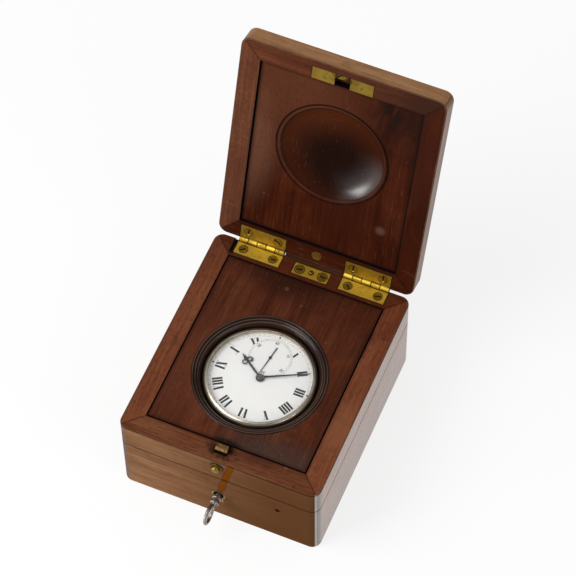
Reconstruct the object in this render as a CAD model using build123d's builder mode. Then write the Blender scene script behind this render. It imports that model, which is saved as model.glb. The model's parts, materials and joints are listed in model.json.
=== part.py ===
from build123d import *
import math
import os

os.makedirs("parts", exist_ok=True)

# A three-tier deck watch box. X is right, Y is back, Z is up, and the origin is
# the centre of the underside. The lid is modelled open, the middle tier closed.

# Outer box
box_width = 110.0
box_depth = 127.0
base_height = 38.5
tray_height = 16.7
lid_thickness = 10.6
corner_radius = 5.2
edge_ease = 0.5
seam_gap = 0.15
lid_gap = 0.1
lid_open_angle = 107.86

# Joinery
base_wall = 10.0
rim_width = 11.0
board_thickness = 6.0
tongue_thickness = 3.0
tongue_reach = 3.0
tongue_slack = 0.2
board_tongue_rise = 1.5
tray_panel_thickness = 6.0
tray_groove_width = 0.8
lid_recess = 1.3
lid_groove_width = 0.4
lid_tongue_rise = 3.2

# Butt hinges, the same pattern on the lid and on the rear seam
hinge_inset = 25.4
hinge_length = 25.6
hinge_back = 0.6
lid_hinge_rise = 0.46
leaf_reach = 9.4
leaf_thickness = 1.2
knuckle_count = 5
knuckle_radius = 1.7
knuckle_end_gap = 0.3
knuckle_relief = 0.2
mortise_spare = 1.9
pin_radius = 0.8
running_clearance = 0.05
hinge_screw_half_pitch = 8.4
hinge_screw_reach = 5.7

# Countersunk slotted screws
screw_head_radius = 2.3
plate_screw_head_radius = 2.6
small_screw_head_radius = 1.7
screw_shank_radius = 0.9
screw_shank_length = 6.0
small_screw_shank_length = 3.0
screw_slot_width = 0.85
screw_slot_depth = 0.5

# Aperture ring in the middle tier
watch_back = 55.4
ring_bezel_gap = 0.8
ring_wall = 3.1
ring_flange_width = 1.9
ring_rebate = 1.4
ring_drop = 8.2
ring_bead_radius = 0.7
ring_second_bead_radius = 0.45
ring_quirk = 0.25
ring_cove_drop = 2.6

# Dish in the lid
dish_margin = 0.6
dish_lip = 1.1
dish_depth = 5.0
dish_lip_mid = 0.15
dish_lip_end = 0.6
dish_shoulder_share = 0.82
dish_shoulder_fall = 0.55
dish_bowl_share = 0.5
dish_bowl_fall = 0.88
dish_line_margin = 1.2
dish_line_size = 0.45

# Catch, push button and strike plate
catch_width = 6.4
catch_front = 6.6
catch_thickness = 2.5
catch_rise = 3.3
catch_nose = 1.1
catch_nose_height = 1.5
catch_pivot_rise = 6.7
catch_pin_radius = 0.7
catch_pin_length = 12.4
catch_side_clearance = 0.3
catch_slot_front = 5.0
catch_slot_rise = 5.0
catch_spring_width = 4.0
catch_spring_thickness = 0.4
catch_spring_rise = 7.8
catch_spring_tip_drop = 3.8
catch_spring_gap = 1.0
button_drop = 4.6
button_radius = 2.3
button_stand = 3.0
button_stem_radius = 1.2
button_stem_clearance = 0.15
button_tip_gap = 0.15
button_tip_round = 0.8
button_room = 1.2
bush_radius = 3.0
bush_depth = 3.4
bush_stand = 0.7
strike_length = 33.0
strike_front = 3.9
strike_width = 7.1
strike_thickness = 1.2
strike_notch_width = 8.3
strike_notch_front = 6.3
strike_screw_half_pitch = 9.0
strike_pocket_depth = 4.4

# Lifter in the rear rim, and the disc it bears on
lifter_x = 0.5
lifter_back = 5.3
lifter_length = 19.9
lifter_width = 6.9
lifter_thickness = 1.2
lifter_screw_half_pitch = 6.4
plunger_radius = 1.1
plunger_collar_radius = 1.8
plunger_collar_height = 1.5
plunger_stand = 1.5
plunger_clearance = 0.1
lifter_spring_length = 8.0
lifter_spring_wall = 0.4
disc_radius = 2.75
disc_thickness = 1.2

# Bead glued to the back of the middle tier, under the gap of the open lid
bead_thickness = 2.2
bead_height = 5.5
bead_end_gap = 0.4
bead_round = 0.6

# Lock, key and keep
lock_half_width = 15.0
lock_front = 3.5
lock_drop = 29.5
lock_side_wall = 1.2
lock_front_wall = 1.0
selvedge_half_width = 19.0
selvedge_thickness = 1.5
selvedge_screw_half_pitch = 17.0
keyhole_drop = 18.2
keyhole_radius = 1.9
keyhole_slot_width = 2.2
bolt_half_width = 5.0
bolt_shoulder_half_width = 8.0
bolt_thickness = 3.0
bolt_front = 5.1
bolt_throw = 3.4
bolt_bit_gap = 0.3
slide_clearance = 0.12
key_shaft_radius = 1.6
key_bore_radius = 0.7
key_bit_length = 4.2
key_bit_thickness = 1.5
key_collar_radius = 2.5
key_neck_radius = 1.9
key_collar_start = 1.6
key_collar_flat = 0.7
key_collar_slope = 0.4
key_collar_space = 1.4
key_bow_radius = 4.9
key_bow_wire = 0.95
key_reach = 18.0
escutcheon_radius = 3.75
escutcheon_height = 10.6
escutcheon_foot_width = 5.0
escutcheon_wall = 0.8
escutcheon_depth = 2.0
keep_half_width = 12.0
keep_front = 3.2
keep_width = 7.0
keep_thickness = 1.0
keep_clearance = 0.3
keep_screw_half_pitch = 8.6
spare_hole_x = 32.8
spare_hole_height = 27.4
spare_hole_radius = 0.9
spare_hole_depth = 3.0

# Nest under the watch
nest_drop = 0.4
lining_thickness = 0.8
lining_clearance = 0.2
case_seat_gap = 0.3

# Watch: widths from the case, heights above or below the seam under the middle tier
case_radius = 28.6
case_step = 0.6
case_wall = 2.0
case_roll = 9.6
case_floor_thickness = 1.6
case_back_drop = 7.9
case_shoulder_drop = 2.5
bezel_rise = 9.5
bezel_overhang = 1.0
bezel_ledge_inset = 1.4
bezel_groove_inset = 1.0
bezel_top_rise = 15.5
dial_rise = 11.4
dial_thickness = 0.8
dial_inset = 1.1
crystal_edge_rise = 14.0
crystal_edge_thickness = 0.6
crystal_rise = 2.1
crystal_thickness = 0.8
pendant_rise = 0.8
pendant_neck_radius = 2.0
pendant_ball_radius = 3.0
pendant_reach = 4.4
pendant_groove_clearance = 0.4
bow_radius = 7.0
bow_wire = 0.9
bow_eye_radius = 1.1
bow_eye_width = 1.0
bow_eye_gap = 0.2

# Movement: the train's sizes are those of a plate of this radius
train_plate_radius = 24.0
plate_clearance = 2.6
back_plate_drop = 3.1
plate_thickness = 1.4
pillar_plate_rise = 8.7
pillar_radius = 1.5
pillar_inset = 1.3
pillar_count = 4
seconds_place = 13.3
arbor_radius = 0.6
centre_arbor_radius = 0.9
seconds_arbor_radius = 0.5
centre_teeth = 80
third_pinion_teeth = 10
third_teeth = 75
fourth_pinion_teeth = 10
fourth_teeth = 60
centre_pinion_teeth = 12
barrel_teeth = 80
centre_tooth_module = 0.26
third_tooth_module = 0.22
fourth_tooth_module = 0.2
barrel_tooth_module = 0.28
tooth_foot = 1.15
tooth_head = 0.75
tooth_foot_share = 0.27
tooth_head_share = 0.11
wheel_thickness = 0.5
pinion_overhang = 0.6
wheel_hub_radius = 1.6
wheel_hole_count = 5
wheel_hole_share = 0.385
wheel_rim_modules = 3.0
centre_wheel_rise = 4.7
third_wheel_rise = 1.4
fourth_wheel_drop = 0.8
barrel_teeth_rise = 2.6
barrel_drum_drop = 1.0
barrel_drum_inset = 0.8
barrel_angle = 225.0
balance_angle = 315.0
balance_place = 15.0
balance_size = 7.5
balance_rim = 1.2
balance_rise = 0.3
balance_thickness = 1.0
balance_arm_width = 1.2

# Hands
hand_gap = 0.3
hour_angle = 305.0
minute_angle = 63.0
seconds_angle = 189.0
seconds_level = 0.3
hour_level = 0.8
minute_level = 1.4
hand_thickness = 0.3
seconds_hand_thickness = 0.2
hour_length = 17.4
hour_pipe_radius = 1.5
hour_hub_radius = 2.3
hour_curl_reach = 12.3
hour_curl_radius = 1.5
hour_curl_wall = 0.55
hour_curl_spread = 1.55
hour_blade_width = 0.9
minute_tip_gap = 1.5
minute_hub_radius = 2.0
minute_root_width = 1.1
minute_tip_width = 0.45
boss_radius = 1.2
boss_rise = 0.6
seconds_tip_gap = 2.6
seconds_tail = 6.8
seconds_hub_radius = 0.8
seconds_root_width = 0.55
seconds_tip_width = 0.3

# Places worked out from the sizes
front_y = -box_depth / 2
rear_y = box_depth / 2
tray_low = base_height + seam_gap
tray_top = base_height + tray_height
lid_low = tray_top + lid_gap
watch_y = front_y + watch_back
hinge_y = rear_y + hinge_back
hinge_spread = box_width / 2 - hinge_inset
lid_pin_height = tray_top + lid_hinge_rise
seam_pin_height = base_height + seam_gap / 2
tray_panel_low = tray_top - tray_panel_thickness
lid_panel_face = lid_low + lid_recess
nest_top = base_height - nest_drop

# Catch, button, lifter and lock
catch_pivot_height = base_height + catch_pivot_rise
catch_slot_floor = base_height + catch_slot_rise
catch_spring_start = base_height + catch_spring_rise
catch_spring_tip_height = tray_top - catch_spring_tip_drop
button_height = tray_top - button_drop
lifter_y = rear_y - lifter_back
lock_floor = base_height - lock_drop
keyhole_height = base_height - keyhole_drop

# Widths and heights of the watch, and what is made to fit round it
case_step_radius = case_radius - case_step
case_bore_radius = case_radius - case_wall
case_back_flat_radius = case_radius - case_roll
case_back_height = base_height - case_back_drop
case_shoulder_height = base_height - case_shoulder_drop
bezel_radius = case_radius + bezel_overhang
bezel_ledge_radius = case_radius - bezel_ledge_inset
bezel_groove_radius = case_radius - bezel_groove_inset
bezel_height = base_height + bezel_rise
bezel_top = base_height + bezel_top_rise
dial_radius = case_radius - dial_inset
dial_height = base_height + dial_rise
dial_top = dial_height + dial_thickness
crystal_edge_height = base_height + crystal_edge_rise
pendant_height = base_height + pendant_rise
pendant_ball_reach = case_radius + pendant_reach
pocket_radius = case_radius + lining_clearance + lining_thickness
pocket_floor = case_back_height - case_seat_gap - lining_thickness
ring_bore_radius = bezel_radius + ring_bezel_gap
ring_body_radius = ring_bore_radius + ring_wall
ring_flange_radius = ring_body_radius + ring_flange_width
dish_radius = case_radius + dish_margin
dish_line_radius = dish_radius + dish_line_margin

# Sizes and heights of the movement and the hands
back_plate_radius = case_bore_radius - plate_clearance
back_plate_low = base_height - back_plate_drop
pillar_plate_low = base_height + pillar_plate_rise
pillar_circle = back_plate_radius - pillar_inset
train_scale = back_plate_radius / train_plate_radius
centre_module = centre_tooth_module * train_scale
third_module = third_tooth_module * train_scale
fourth_module = fourth_tooth_module * train_scale
barrel_module = barrel_tooth_module * train_scale
centre_wheel_height = base_height + centre_wheel_rise
third_wheel_height = base_height + third_wheel_rise
fourth_wheel_height = base_height - fourth_wheel_drop
barrel_teeth_height = base_height + barrel_teeth_rise
barrel_drum_height = base_height - barrel_drum_drop
balance_circle = balance_place * train_scale
balance_radius = balance_size * train_scale
balance_height = base_height + balance_rise
seconds_offset = seconds_place * train_scale
minute_length = bezel_ledge_radius - minute_tip_gap
seconds_pointer = seconds_offset - seconds_tip_gap
watch_axis = Axis((0, watch_y, 0), (0, 0, 1))
top_aligned = (Align.CENTER, Align.CENTER, Align.MAX)
bottom_aligned = (Align.CENTER, Align.CENTER, Align.MIN)
front_aligned = (Align.CENTER, Align.MIN, Align.MIN)


def keep(piece, name):
    """Label a finished piece and write its file."""
    piece.label = name
    export_step(piece, f"parts/{name}.step")


def open_lid(plane):
    """Turn a plane of the closed lid about the lid hinge to its open place."""
    pin = Location((0, hinge_y, lid_pin_height))
    swing = pin * Location((0, 0, 0), (-lid_open_angle, 0, 0)) * pin.inverse()
    return Plane(swing * plane.location)


def mitre_corners(side):
    """Corners of the share of a frame on one side, cut at 45 degrees."""
    margin = rim_width
    depth = 2 * rim_width
    out_x = box_width / 2 + margin
    out_y = box_depth / 2 + margin
    in_x = box_width / 2 - depth
    in_y = box_depth / 2 - depth
    shares = {
        "front": [(-out_x, -out_y), (out_x, -out_y), (in_x, -in_y), (-in_x, -in_y)],
        "back": [(out_x, out_y), (-out_x, out_y), (-in_x, in_y), (in_x, in_y)],
        "left": [(-out_x, out_y), (-out_x, -out_y), (-in_x, -in_y), (-in_x, in_y)],
        "right": [(out_x, -out_y), (out_x, out_y), (in_x, in_y), (in_x, -in_y)],
    }
    return shares[side]


def frame_side(low, height, wall, groove_rise, side):
    """One mitred side of a tier, grooved inside for the tongue of its panel."""
    rise = Axis(low.origin, low.z_dir)
    with BuildPart() as rail:
        with BuildSketch(low):
            RectangleRounded(box_width, box_depth, corner_radius)
            Rectangle(box_width - 2 * wall, box_depth - 2 * wall, mode=Mode.SUBTRACT)
        extrude(amount=height)
        ends = rail.faces().sort_by(rise)
        fillet(ends[0].outer_wire().edges() + ends[-1].outer_wire().edges(), edge_ease)
        with BuildSketch(low.offset(groove_rise)):
            groove_x = box_width - 2 * (wall - tongue_reach)
            Rectangle(groove_x, box_depth - 2 * (wall - tongue_reach))
        extrude(amount=tongue_thickness, mode=Mode.SUBTRACT)
        with BuildSketch(low):
            with BuildLine():
                Polyline(*mitre_corners(side), close=True)
            make_face()
        extrude(amount=height, mode=Mode.INTERSECT)
    return rail.part


def tongued_panel(low, thickness, tongue_rise, wall, reveal):
    """A flat panel with a tongue round its edge that sits in the grooves of the frame."""
    reach = tongue_reach - tongue_slack
    with BuildPart() as panel:
        with BuildSketch(low):
            Rectangle(box_width - 2 * (wall + reveal), box_depth - 2 * (wall + reveal))
        extrude(amount=thickness)
        with BuildSketch(low.offset(tongue_rise)):
            Rectangle(box_width - 2 * (wall - reach), box_depth - 2 * (wall - reach))
        extrude(amount=tongue_thickness)
    return panel.part


def pin_plane(x, height, normal):
    """Plane on a hinge pin: x along the pin, y towards the front, z out of the leaf."""
    toward = Vector(0, -1, 0)
    face = Vector(0, 0, normal)
    return Plane(origin=(x, hinge_y, height), x_dir=toward.cross(face), z_dir=face)


def knuckle_start(index):
    """Place along the pin where a knuckle begins."""
    pitch = hinge_length / knuckle_count
    return -hinge_length / 2 + index * pitch + knuckle_end_gap / 2


def pin_section(plane, start):
    """Plane across the pin at a place along it."""
    origin = plane.origin + plane.x_dir * start
    return Plane(origin=origin, x_dir=plane.y_dir, z_dir=plane.x_dir)


def hinge_seats(plane, surface):
    """Planes of the two screw heads in a leaf."""
    face = plane.offset(surface).location
    sides = (-hinge_screw_half_pitch, hinge_screw_half_pitch)
    return [Plane(face * Location((x, hinge_screw_reach, 0))) for x in sides]


def hinge_leaf(plane, surface, own, bore):
    """A leaf let in flush: its plate, its own knuckles and two countersunk holes."""
    knuckle_length = hinge_length / knuckle_count - knuckle_end_gap
    clear = knuckle_radius + knuckle_relief
    with BuildPart() as leaf:
        with BuildSketch(plane.offset(surface)):
            with Locations((0, (leaf_reach + clear) / 2)):
                Rectangle(hinge_length, leaf_reach - clear)
            for index in own:
                with Locations((knuckle_start(index) + knuckle_length / 2, clear / 2)):
                    Rectangle(knuckle_length, clear)
        extrude(amount=-leaf_thickness)
        for index in own:
            with BuildSketch(pin_section(plane, knuckle_start(index))):
                Circle(knuckle_radius)
            extrude(amount=knuckle_length)
        with BuildSketch(pin_section(plane, -hinge_length / 2)):
            Circle(bore)
        extrude(amount=hinge_length, mode=Mode.SUBTRACT)
        with Locations(*hinge_seats(plane, surface)):
            Cone(screw_shank_radius, screw_head_radius, leaf_thickness, align=top_aligned,
                 mode=Mode.SUBTRACT)
    return leaf.part


def let_in(plane, surface, spare=0):
    """Cut the bed of a leaf and the relief round its knuckles out of the open part."""
    bed = plane.offset(surface).location * Location((spare / 2, leaf_reach / 2, 0))
    with Locations(bed):
        Box(hinge_length + spare, leaf_reach, leaf_thickness, align=top_aligned,
            mode=Mode.SUBTRACT)
    with Locations(plane.location):
        Cylinder(knuckle_radius + knuckle_relief, hinge_length, rotation=(0, 90, 0),
                 mode=Mode.SUBTRACT)


def screw_set(seats):
    """Countersunk screws as separate solids: plane, head, height, shank and slot, if any."""
    with BuildPart() as screws:
        for seat, head, height, shank, turn in seats:
            with Locations(seat):
                Cone(screw_shank_radius, head, height, align=top_aligned)
            with Locations(seat.offset(-height)):
                Cylinder(screw_shank_radius, shank, align=top_aligned)
            if turn is not None:
                with Locations(seat):
                    Box(3 * head, screw_slot_width, screw_slot_depth, rotation=(0, 0, turn),
                        align=top_aligned, mode=Mode.SUBTRACT)
    return screws.part


def drill(seats):
    """Cut the shank holes of a set of screws out of the open part."""
    for seat, head, height, shank, turn in seats:
        with Locations(seat.offset(-height)):
            Cylinder(screw_shank_radius, shank, align=top_aligned, mode=Mode.SUBTRACT)


def countersink(seats):
    """Cut the head seats of a set of screws out of the open plate."""
    for seat, head, height, shank, turn in seats:
        with Locations(seat):
            Cone(screw_shank_radius, head, height, align=top_aligned, mode=Mode.SUBTRACT)


def hinge_screws(plane, surface, turns):
    """The two screws of one leaf, with the angles their slots stopped at."""
    seats = hinge_seats(plane, surface)
    head = screw_head_radius
    shank = screw_shank_length
    return [(seat, head, leaf_thickness, shank, turn) for seat, turn in zip(seats, turns)]


def plate_screws(places, normal, plate, head, shank, turns):
    """Screws through a flat plate, given the places of their heads."""
    planes = [Plane(origin=place, x_dir=(1, 0, 0), z_dir=(0, 0, normal)) for place in places]
    return [(seat, head, plate, shank, turn) for seat, turn in zip(planes, turns)]


def tooth_outline(teeth, module, centre, phase):
    """Corners of a wheel or pinion with straight-sided teeth, one tooth at the phase."""
    root = module * (teeth / 2 - tooth_foot)
    tip = module * (teeth / 2 + tooth_head)
    foot = tooth_foot_share
    head = tooth_head_share
    pitch = 360 / teeth
    corners = []
    for tooth in range(teeth):
        for radius, share in ((root, -foot), (tip, -head), (tip, head), (root, foot)):
            turn = math.radians(phase + (tooth + share) * pitch)
            x = centre[0] + radius * math.cos(turn)
            y = centre[1] + radius * math.sin(turn)
            corners.append((x, y))
    return corners


def around(centre, distance, degrees):
    """A point at a distance and angle from a centre."""
    turn = math.radians(degrees)
    return (centre[0] + distance * math.cos(turn), centre[1] + distance * math.sin(turn))


def bearing(start, end):
    """Direction from one point to another, in degrees."""
    return math.degrees(math.atan2(end[1] - start[1], end[0] - start[0]))


def hand_plane(centre, level, clockwise):
    """Plane of a hand: y points along it, turned clockwise from twelve."""
    turn = math.radians(clockwise)
    across = (math.cos(turn), -math.sin(turn), 0)
    return Plane(origin=(centre[0], centre[1], dial_top + level), x_dir=across, z_dir=(0, 0, 1))


def cap_height(radius, rise, reach):
    """Height of a round dome, level at its centre, at a distance from the centre."""
    ball = (radius ** 2 + rise ** 2) / (2 * rise)
    return rise - ball + math.sqrt(ball ** 2 - reach ** 2)


def upright(x, y, height):
    """Section plane whose x is to the right and whose y is up, facing the front."""
    return Plane(origin=(x, y, height), x_dir=(1, 0, 0), z_dir=(0, -1, 0))


# Places of the hinges: lid leaf and tray leaf share a pin, as do the seam leaves
hinge_sides = {"left": -hinge_spread, "right": hinge_spread}
lid_own = {"left": (0, 2, 4), "right": (1, 3)}
tray_own = {"left": (1, 3), "right": (0, 2, 4)}
tray_leaf_surface = -lid_hinge_rise
lid_leaf_surface = lid_hinge_rise - lid_gap
seam_surface = -seam_gap / 2
tray_pins = {side: pin_plane(x, lid_pin_height, 1) for side, x in hinge_sides.items()}
lid_pins = {side: open_lid(pin_plane(x, lid_pin_height, -1)) for side, x in hinge_sides.items()}
base_pins = {side: pin_plane(x, seam_pin_height, 1) for side, x in hinge_sides.items()}
under_pins = {side: pin_plane(x, seam_pin_height, -1) for side, x in hinge_sides.items()}

# Screws of each tier
lock_mid_y = front_y + (lock_front + base_wall) / 2
base_screw_list = (
    hinge_screws(base_pins["left"], seam_surface, (20, 75))
    + hinge_screws(base_pins["right"], seam_surface, (-40, 10))
    + plate_screws(
        [(x, lock_mid_y, base_height) for x in (-selvedge_screw_half_pitch, selvedge_screw_half_pitch)],
        1, selvedge_thickness, small_screw_head_radius, small_screw_shank_length, (30, -25))
)
tray_hinge_screw_list = (
    hinge_screws(tray_pins["left"], tray_leaf_surface, (0, 35))
    + hinge_screws(tray_pins["right"], tray_leaf_surface, (15, -40))
)
lifter_screw_list = plate_screws(
    [(lifter_x + x, lifter_y, tray_top) for x in (-lifter_screw_half_pitch, lifter_screw_half_pitch)],
    1, lifter_thickness, plate_screw_head_radius, screw_shank_length, (12, -8))
under_screw_list = (
    hinge_screws(under_pins["left"], seam_surface, (50, -15))
    + hinge_screws(under_pins["right"], seam_surface, (5, 65))
)
keep_mid_y = front_y + keep_front + keep_width / 2
keep_screw_list = plate_screws(
    [(x, keep_mid_y, tray_low) for x in (-keep_screw_half_pitch, keep_screw_half_pitch)],
    -1, keep_thickness, small_screw_head_radius, small_screw_shank_length, (70, 20))
lid_hinge_screw_list = (
    hinge_screws(lid_pins["left"], lid_leaf_surface, (80, -30))
    + hinge_screws(lid_pins["right"], lid_leaf_surface, (90, 88))
)

# The strike is held by pins filed flush, with no slots
strike_mid_y = front_y + strike_front + strike_width / 2
strike_screw_list = [
    (open_lid(seat), head, height, shank, turn)
    for seat, head, height, shank, turn in plate_screws(
        [(x, strike_mid_y, lid_low) for x in (-strike_screw_half_pitch, strike_screw_half_pitch)],
        -1, strike_thickness, small_screw_head_radius, small_screw_shank_length, (None, None))
]

# Bottom tier
base_low_plane = Plane.XY

with BuildPart() as base_board:
    add(tongued_panel(base_low_plane, board_thickness, board_tongue_rise, base_wall, 0))
keep(base_board.part, "base_board")

for side in ("left", "right"):
    with BuildPart() as base_side_wall:
        add(frame_side(base_low_plane, base_height, base_wall, board_tongue_rise, side))
    keep(base_side_wall.part, f"base_{side}_wall")

with BuildPart() as base_back_wall:
    add(frame_side(base_low_plane, base_height, base_wall, board_tongue_rise, "back"))
    for side in hinge_sides:
        let_in(base_pins[side], seam_surface)
    drill(base_screw_list)
keep(base_back_wall.part, "base_back_wall")

# Outline of the keyhole lining: a round head on a narrower foot
escutcheon_drop = escutcheon_height - escutcheon_radius
foot_y = -escutcheon_drop / 2
inner_radius = escutcheon_radius - escutcheon_wall
inner_foot = escutcheon_foot_width - 2 * escutcheon_wall
key_face = upright(0, front_y, keyhole_height)

with BuildPart() as base_front_wall:
    add(frame_side(base_low_plane, base_height, base_wall, board_tongue_rise, "front"))
    with Locations((0, front_y + lock_front, lock_floor)):
        Box(2 * lock_half_width, base_wall, base_height, align=front_aligned, mode=Mode.SUBTRACT)
    with Locations((0, front_y + lock_front, base_height - selvedge_thickness)):
        Box(2 * selvedge_half_width, base_wall, base_height, align=front_aligned,
            mode=Mode.SUBTRACT)
    with BuildSketch(key_face):
        Circle(escutcheon_radius)
        with Locations((0, foot_y)):
            Rectangle(escutcheon_foot_width, escutcheon_drop)
    extrude(amount=-escutcheon_depth, mode=Mode.SUBTRACT)
    with BuildSketch(key_face):
        Circle(inner_radius)
        with Locations((0, foot_y)):
            Rectangle(inner_foot, escutcheon_drop - 2 * escutcheon_wall)
    extrude(amount=-base_wall, mode=Mode.SUBTRACT)
    with BuildSketch(upright(spare_hole_x, front_y, spare_hole_height)):
        Circle(spare_hole_radius)
    extrude(amount=-spare_hole_depth, mode=Mode.SUBTRACT)
    drill(base_screw_list)
keep(base_front_wall.part, "base_front_wall")

with BuildPart() as keyhole_escutcheon:
    with BuildSketch(key_face):
        Circle(escutcheon_radius)
        with Locations((0, foot_y)):
            Rectangle(escutcheon_foot_width, escutcheon_drop)
        Circle(inner_radius, mode=Mode.SUBTRACT)
        with Locations((0, foot_y + escutcheon_wall / 2)):
            Rectangle(inner_foot, escutcheon_drop - escutcheon_wall, mode=Mode.SUBTRACT)
    extrude(amount=-escutcheon_depth)
keep(keyhole_escutcheon.part, "keyhole_escutcheon")

# The lock: a box let in from inside and above, with the pin that the hollow key turns on
lock_depth = base_wall - lock_front
cavity_low = lock_floor + lock_side_wall
cavity_top = base_height - selvedge_thickness
cavity_depth = lock_depth - lock_front_wall - lock_side_wall
pin_back = front_y + base_wall - lock_side_wall
bit_back = front_y + bolt_front + bolt_thickness

with BuildPart() as lock_case:
    with Locations((0, front_y + lock_front, lock_floor)):
        Box(2 * lock_half_width, lock_depth, base_height - lock_floor, align=front_aligned)
    with Locations((0, front_y + lock_front, cavity_top)):
        Box(2 * selvedge_half_width, lock_depth, selvedge_thickness, align=front_aligned)
    with Locations((0, front_y + lock_front + lock_front_wall, cavity_low)):
        Box(2 * (lock_half_width - lock_side_wall), cavity_depth, cavity_top - cavity_low,
            align=front_aligned, mode=Mode.SUBTRACT)
    with Locations((0, front_y + bolt_front - slide_clearance, cavity_top)):
        Box(2 * (bolt_half_width + slide_clearance), bolt_thickness + 2 * slide_clearance,
            selvedge_thickness, align=front_aligned, mode=Mode.SUBTRACT)
    with BuildSketch(upright(0, front_y + lock_front, keyhole_height)):
        Circle(keyhole_radius)
        with Locations((0, -key_bit_length / 2)):
            Rectangle(keyhole_slot_width, key_bit_length + 2 * slide_clearance)
    extrude(amount=-lock_front_wall, mode=Mode.SUBTRACT)
    with BuildSketch(upright(0, pin_back, keyhole_height)):
        Circle(key_bore_radius - running_clearance)
    extrude(amount=bolt_thickness)
    countersink(base_screw_list[-2:])
keep(lock_case.part, "lock_case")

bolt_low = keyhole_height + math.hypot(key_bit_length, key_bit_thickness / 2) + bolt_bit_gap
shoulder_height = cavity_top - bolt_throw - slide_clearance
with BuildPart() as lock_bolt:
    with Locations((0, front_y + bolt_front, bolt_low)):
        Box(2 * bolt_shoulder_half_width, bolt_thickness, shoulder_height - bolt_low,
            align=front_aligned)
        Box(2 * bolt_half_width, bolt_thickness, base_height - bolt_low - slide_clearance,
            align=front_aligned)
keep(lock_bolt.part, "lock_bolt")

# The key: a hollow shaft with turned collars, a bit pointing down and an upright ring bow
key_axis = Axis((0, 0, keyhole_height), (0, 1, 0))
key_end = bit_back + running_clearance
bow_centre = front_y - key_reach + key_bow_radius + key_bow_wire
neck_start = bow_centre + key_bow_radius
collar_end = front_y - key_collar_start
first_collar = collar_end - key_collar_flat - key_collar_slope
second_collar = first_collar - key_collar_space
with BuildPart() as key:
    with BuildSketch(Plane(origin=(0, 0, keyhole_height), x_dir=(0, 1, 0), z_dir=(1, 0, 0))):
        with BuildLine():
            Polyline(
                (neck_start, 0),
                (neck_start, key_shaft_radius),
                (second_collar - key_collar_flat - 2 * key_collar_slope, key_neck_radius),
                (second_collar - key_collar_flat - key_collar_slope, key_collar_radius),
                (second_collar - key_collar_slope, key_collar_radius),
                (second_collar, key_neck_radius),
                (first_collar, key_neck_radius),
                (first_collar + key_collar_slope, key_collar_radius),
                (collar_end, key_collar_radius),
                (collar_end, key_shaft_radius),
                (key_end, key_shaft_radius),
                (key_end, 0),
                close=True,
            )
        make_face()
    revolve(axis=key_axis)
    with Locations((0, bow_centre, keyhole_height)):
        Torus(key_bow_radius, key_bow_wire, rotation=(0, 90, 0))
    with Locations((0, front_y + bolt_front, keyhole_height - key_bit_length)):
        Box(key_bit_thickness, bolt_thickness, key_bit_length, align=front_aligned)
    with BuildSketch(upright(0, key_end, keyhole_height)):
        Circle(key_bore_radius)
    extrude(amount=bolt_thickness, mode=Mode.SUBTRACT)
keep(key.part, "key")

with BuildPart() as seam_hinge_base_leaves:
    for side in hinge_sides:
        add(hinge_leaf(base_pins[side], seam_surface, (1, 3), pin_radius + running_clearance))
keep(seam_hinge_base_leaves.part, "seam_hinge_base_leaves")

with BuildPart() as base_screws:
    add(screw_set(base_screw_list))
keep(base_screws.part, "base_screws")

# The nest: a block that fills the tier, turned out for the watch and lined with cloth
pendant_groove_radius = pendant_ball_radius + pendant_groove_clearance
groove_end = watch_y + pendant_ball_reach + pendant_groove_radius
with BuildPart() as watch_nest:
    with BuildSketch(Plane.XY.offset(board_thickness)):
        Rectangle(box_width - 2 * base_wall, box_depth - 2 * base_wall)
    extrude(amount=nest_top - board_thickness)
    with BuildSketch(Plane.XY.offset(pocket_floor)):
        with Locations((0, watch_y)):
            Circle(pocket_radius)
    extrude(amount=nest_top - pocket_floor, mode=Mode.SUBTRACT)
    with BuildSketch(upright(0, groove_end, pendant_height)):
        Circle(pendant_groove_radius)
    extrude(amount=groove_end - watch_y, mode=Mode.SUBTRACT)
keep(watch_nest.part, "watch_nest")

with BuildPart() as nest_lining:
    with BuildSketch(Plane.XY.offset(pocket_floor)):
        with Locations((0, watch_y)):
            Circle(pocket_radius)
    extrude(amount=nest_top - pocket_floor)
    with BuildSketch(Plane.XY.offset(pocket_floor + lining_thickness)):
        with Locations((0, watch_y)):
            Circle(pocket_radius - lining_thickness)
    extrude(amount=nest_top - pocket_floor, mode=Mode.SUBTRACT)
    with BuildSketch(upright(0, groove_end, pendant_height)):
        Circle(pendant_groove_radius)
    extrude(amount=groove_end - watch_y, mode=Mode.SUBTRACT)
keep(nest_lining.part, "nest_lining")

# Middle tier
tray_low_plane = Plane.XY.offset(tray_low)
tray_rail_height = tray_top - tray_low
tray_groove_rise = tray_panel_low - tray_low
catch_slot_half = catch_width / 2 + catch_side_clearance
catch_slot_back = rim_width + tray_groove_width
button_stem_bore = button_stem_radius + button_stem_clearance
button_face = upright(0, front_y, button_height)

for side in ("left", "right"):
    with BuildPart() as tray_side_rail:
        add(frame_side(tray_low_plane, tray_rail_height, rim_width, tray_groove_rise, side))
    keep(tray_side_rail.part, f"tray_{side}_rail")

with BuildPart() as tray_back_rail:
    add(frame_side(tray_low_plane, tray_rail_height, rim_width, tray_groove_rise, "back"))
    for side in hinge_sides:
        let_in(under_pins[side], seam_surface)
    let_in(tray_pins["left"], tray_leaf_surface, mortise_spare)
    let_in(tray_pins["right"], tray_leaf_surface)
    with Locations((lifter_x, lifter_y, tray_top)):
        Box(lifter_length, lifter_width, lifter_thickness, align=top_aligned, mode=Mode.SUBTRACT)
        Cylinder(plunger_collar_radius + plunger_clearance,
                 lifter_thickness + plunger_clearance + plunger_collar_height + lifter_spring_length,
                 align=top_aligned, mode=Mode.SUBTRACT)
    drill(tray_hinge_screw_list)
    drill(under_screw_list)
    drill(lifter_screw_list)
keep(tray_back_rail.part, "tray_back_rail")

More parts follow.
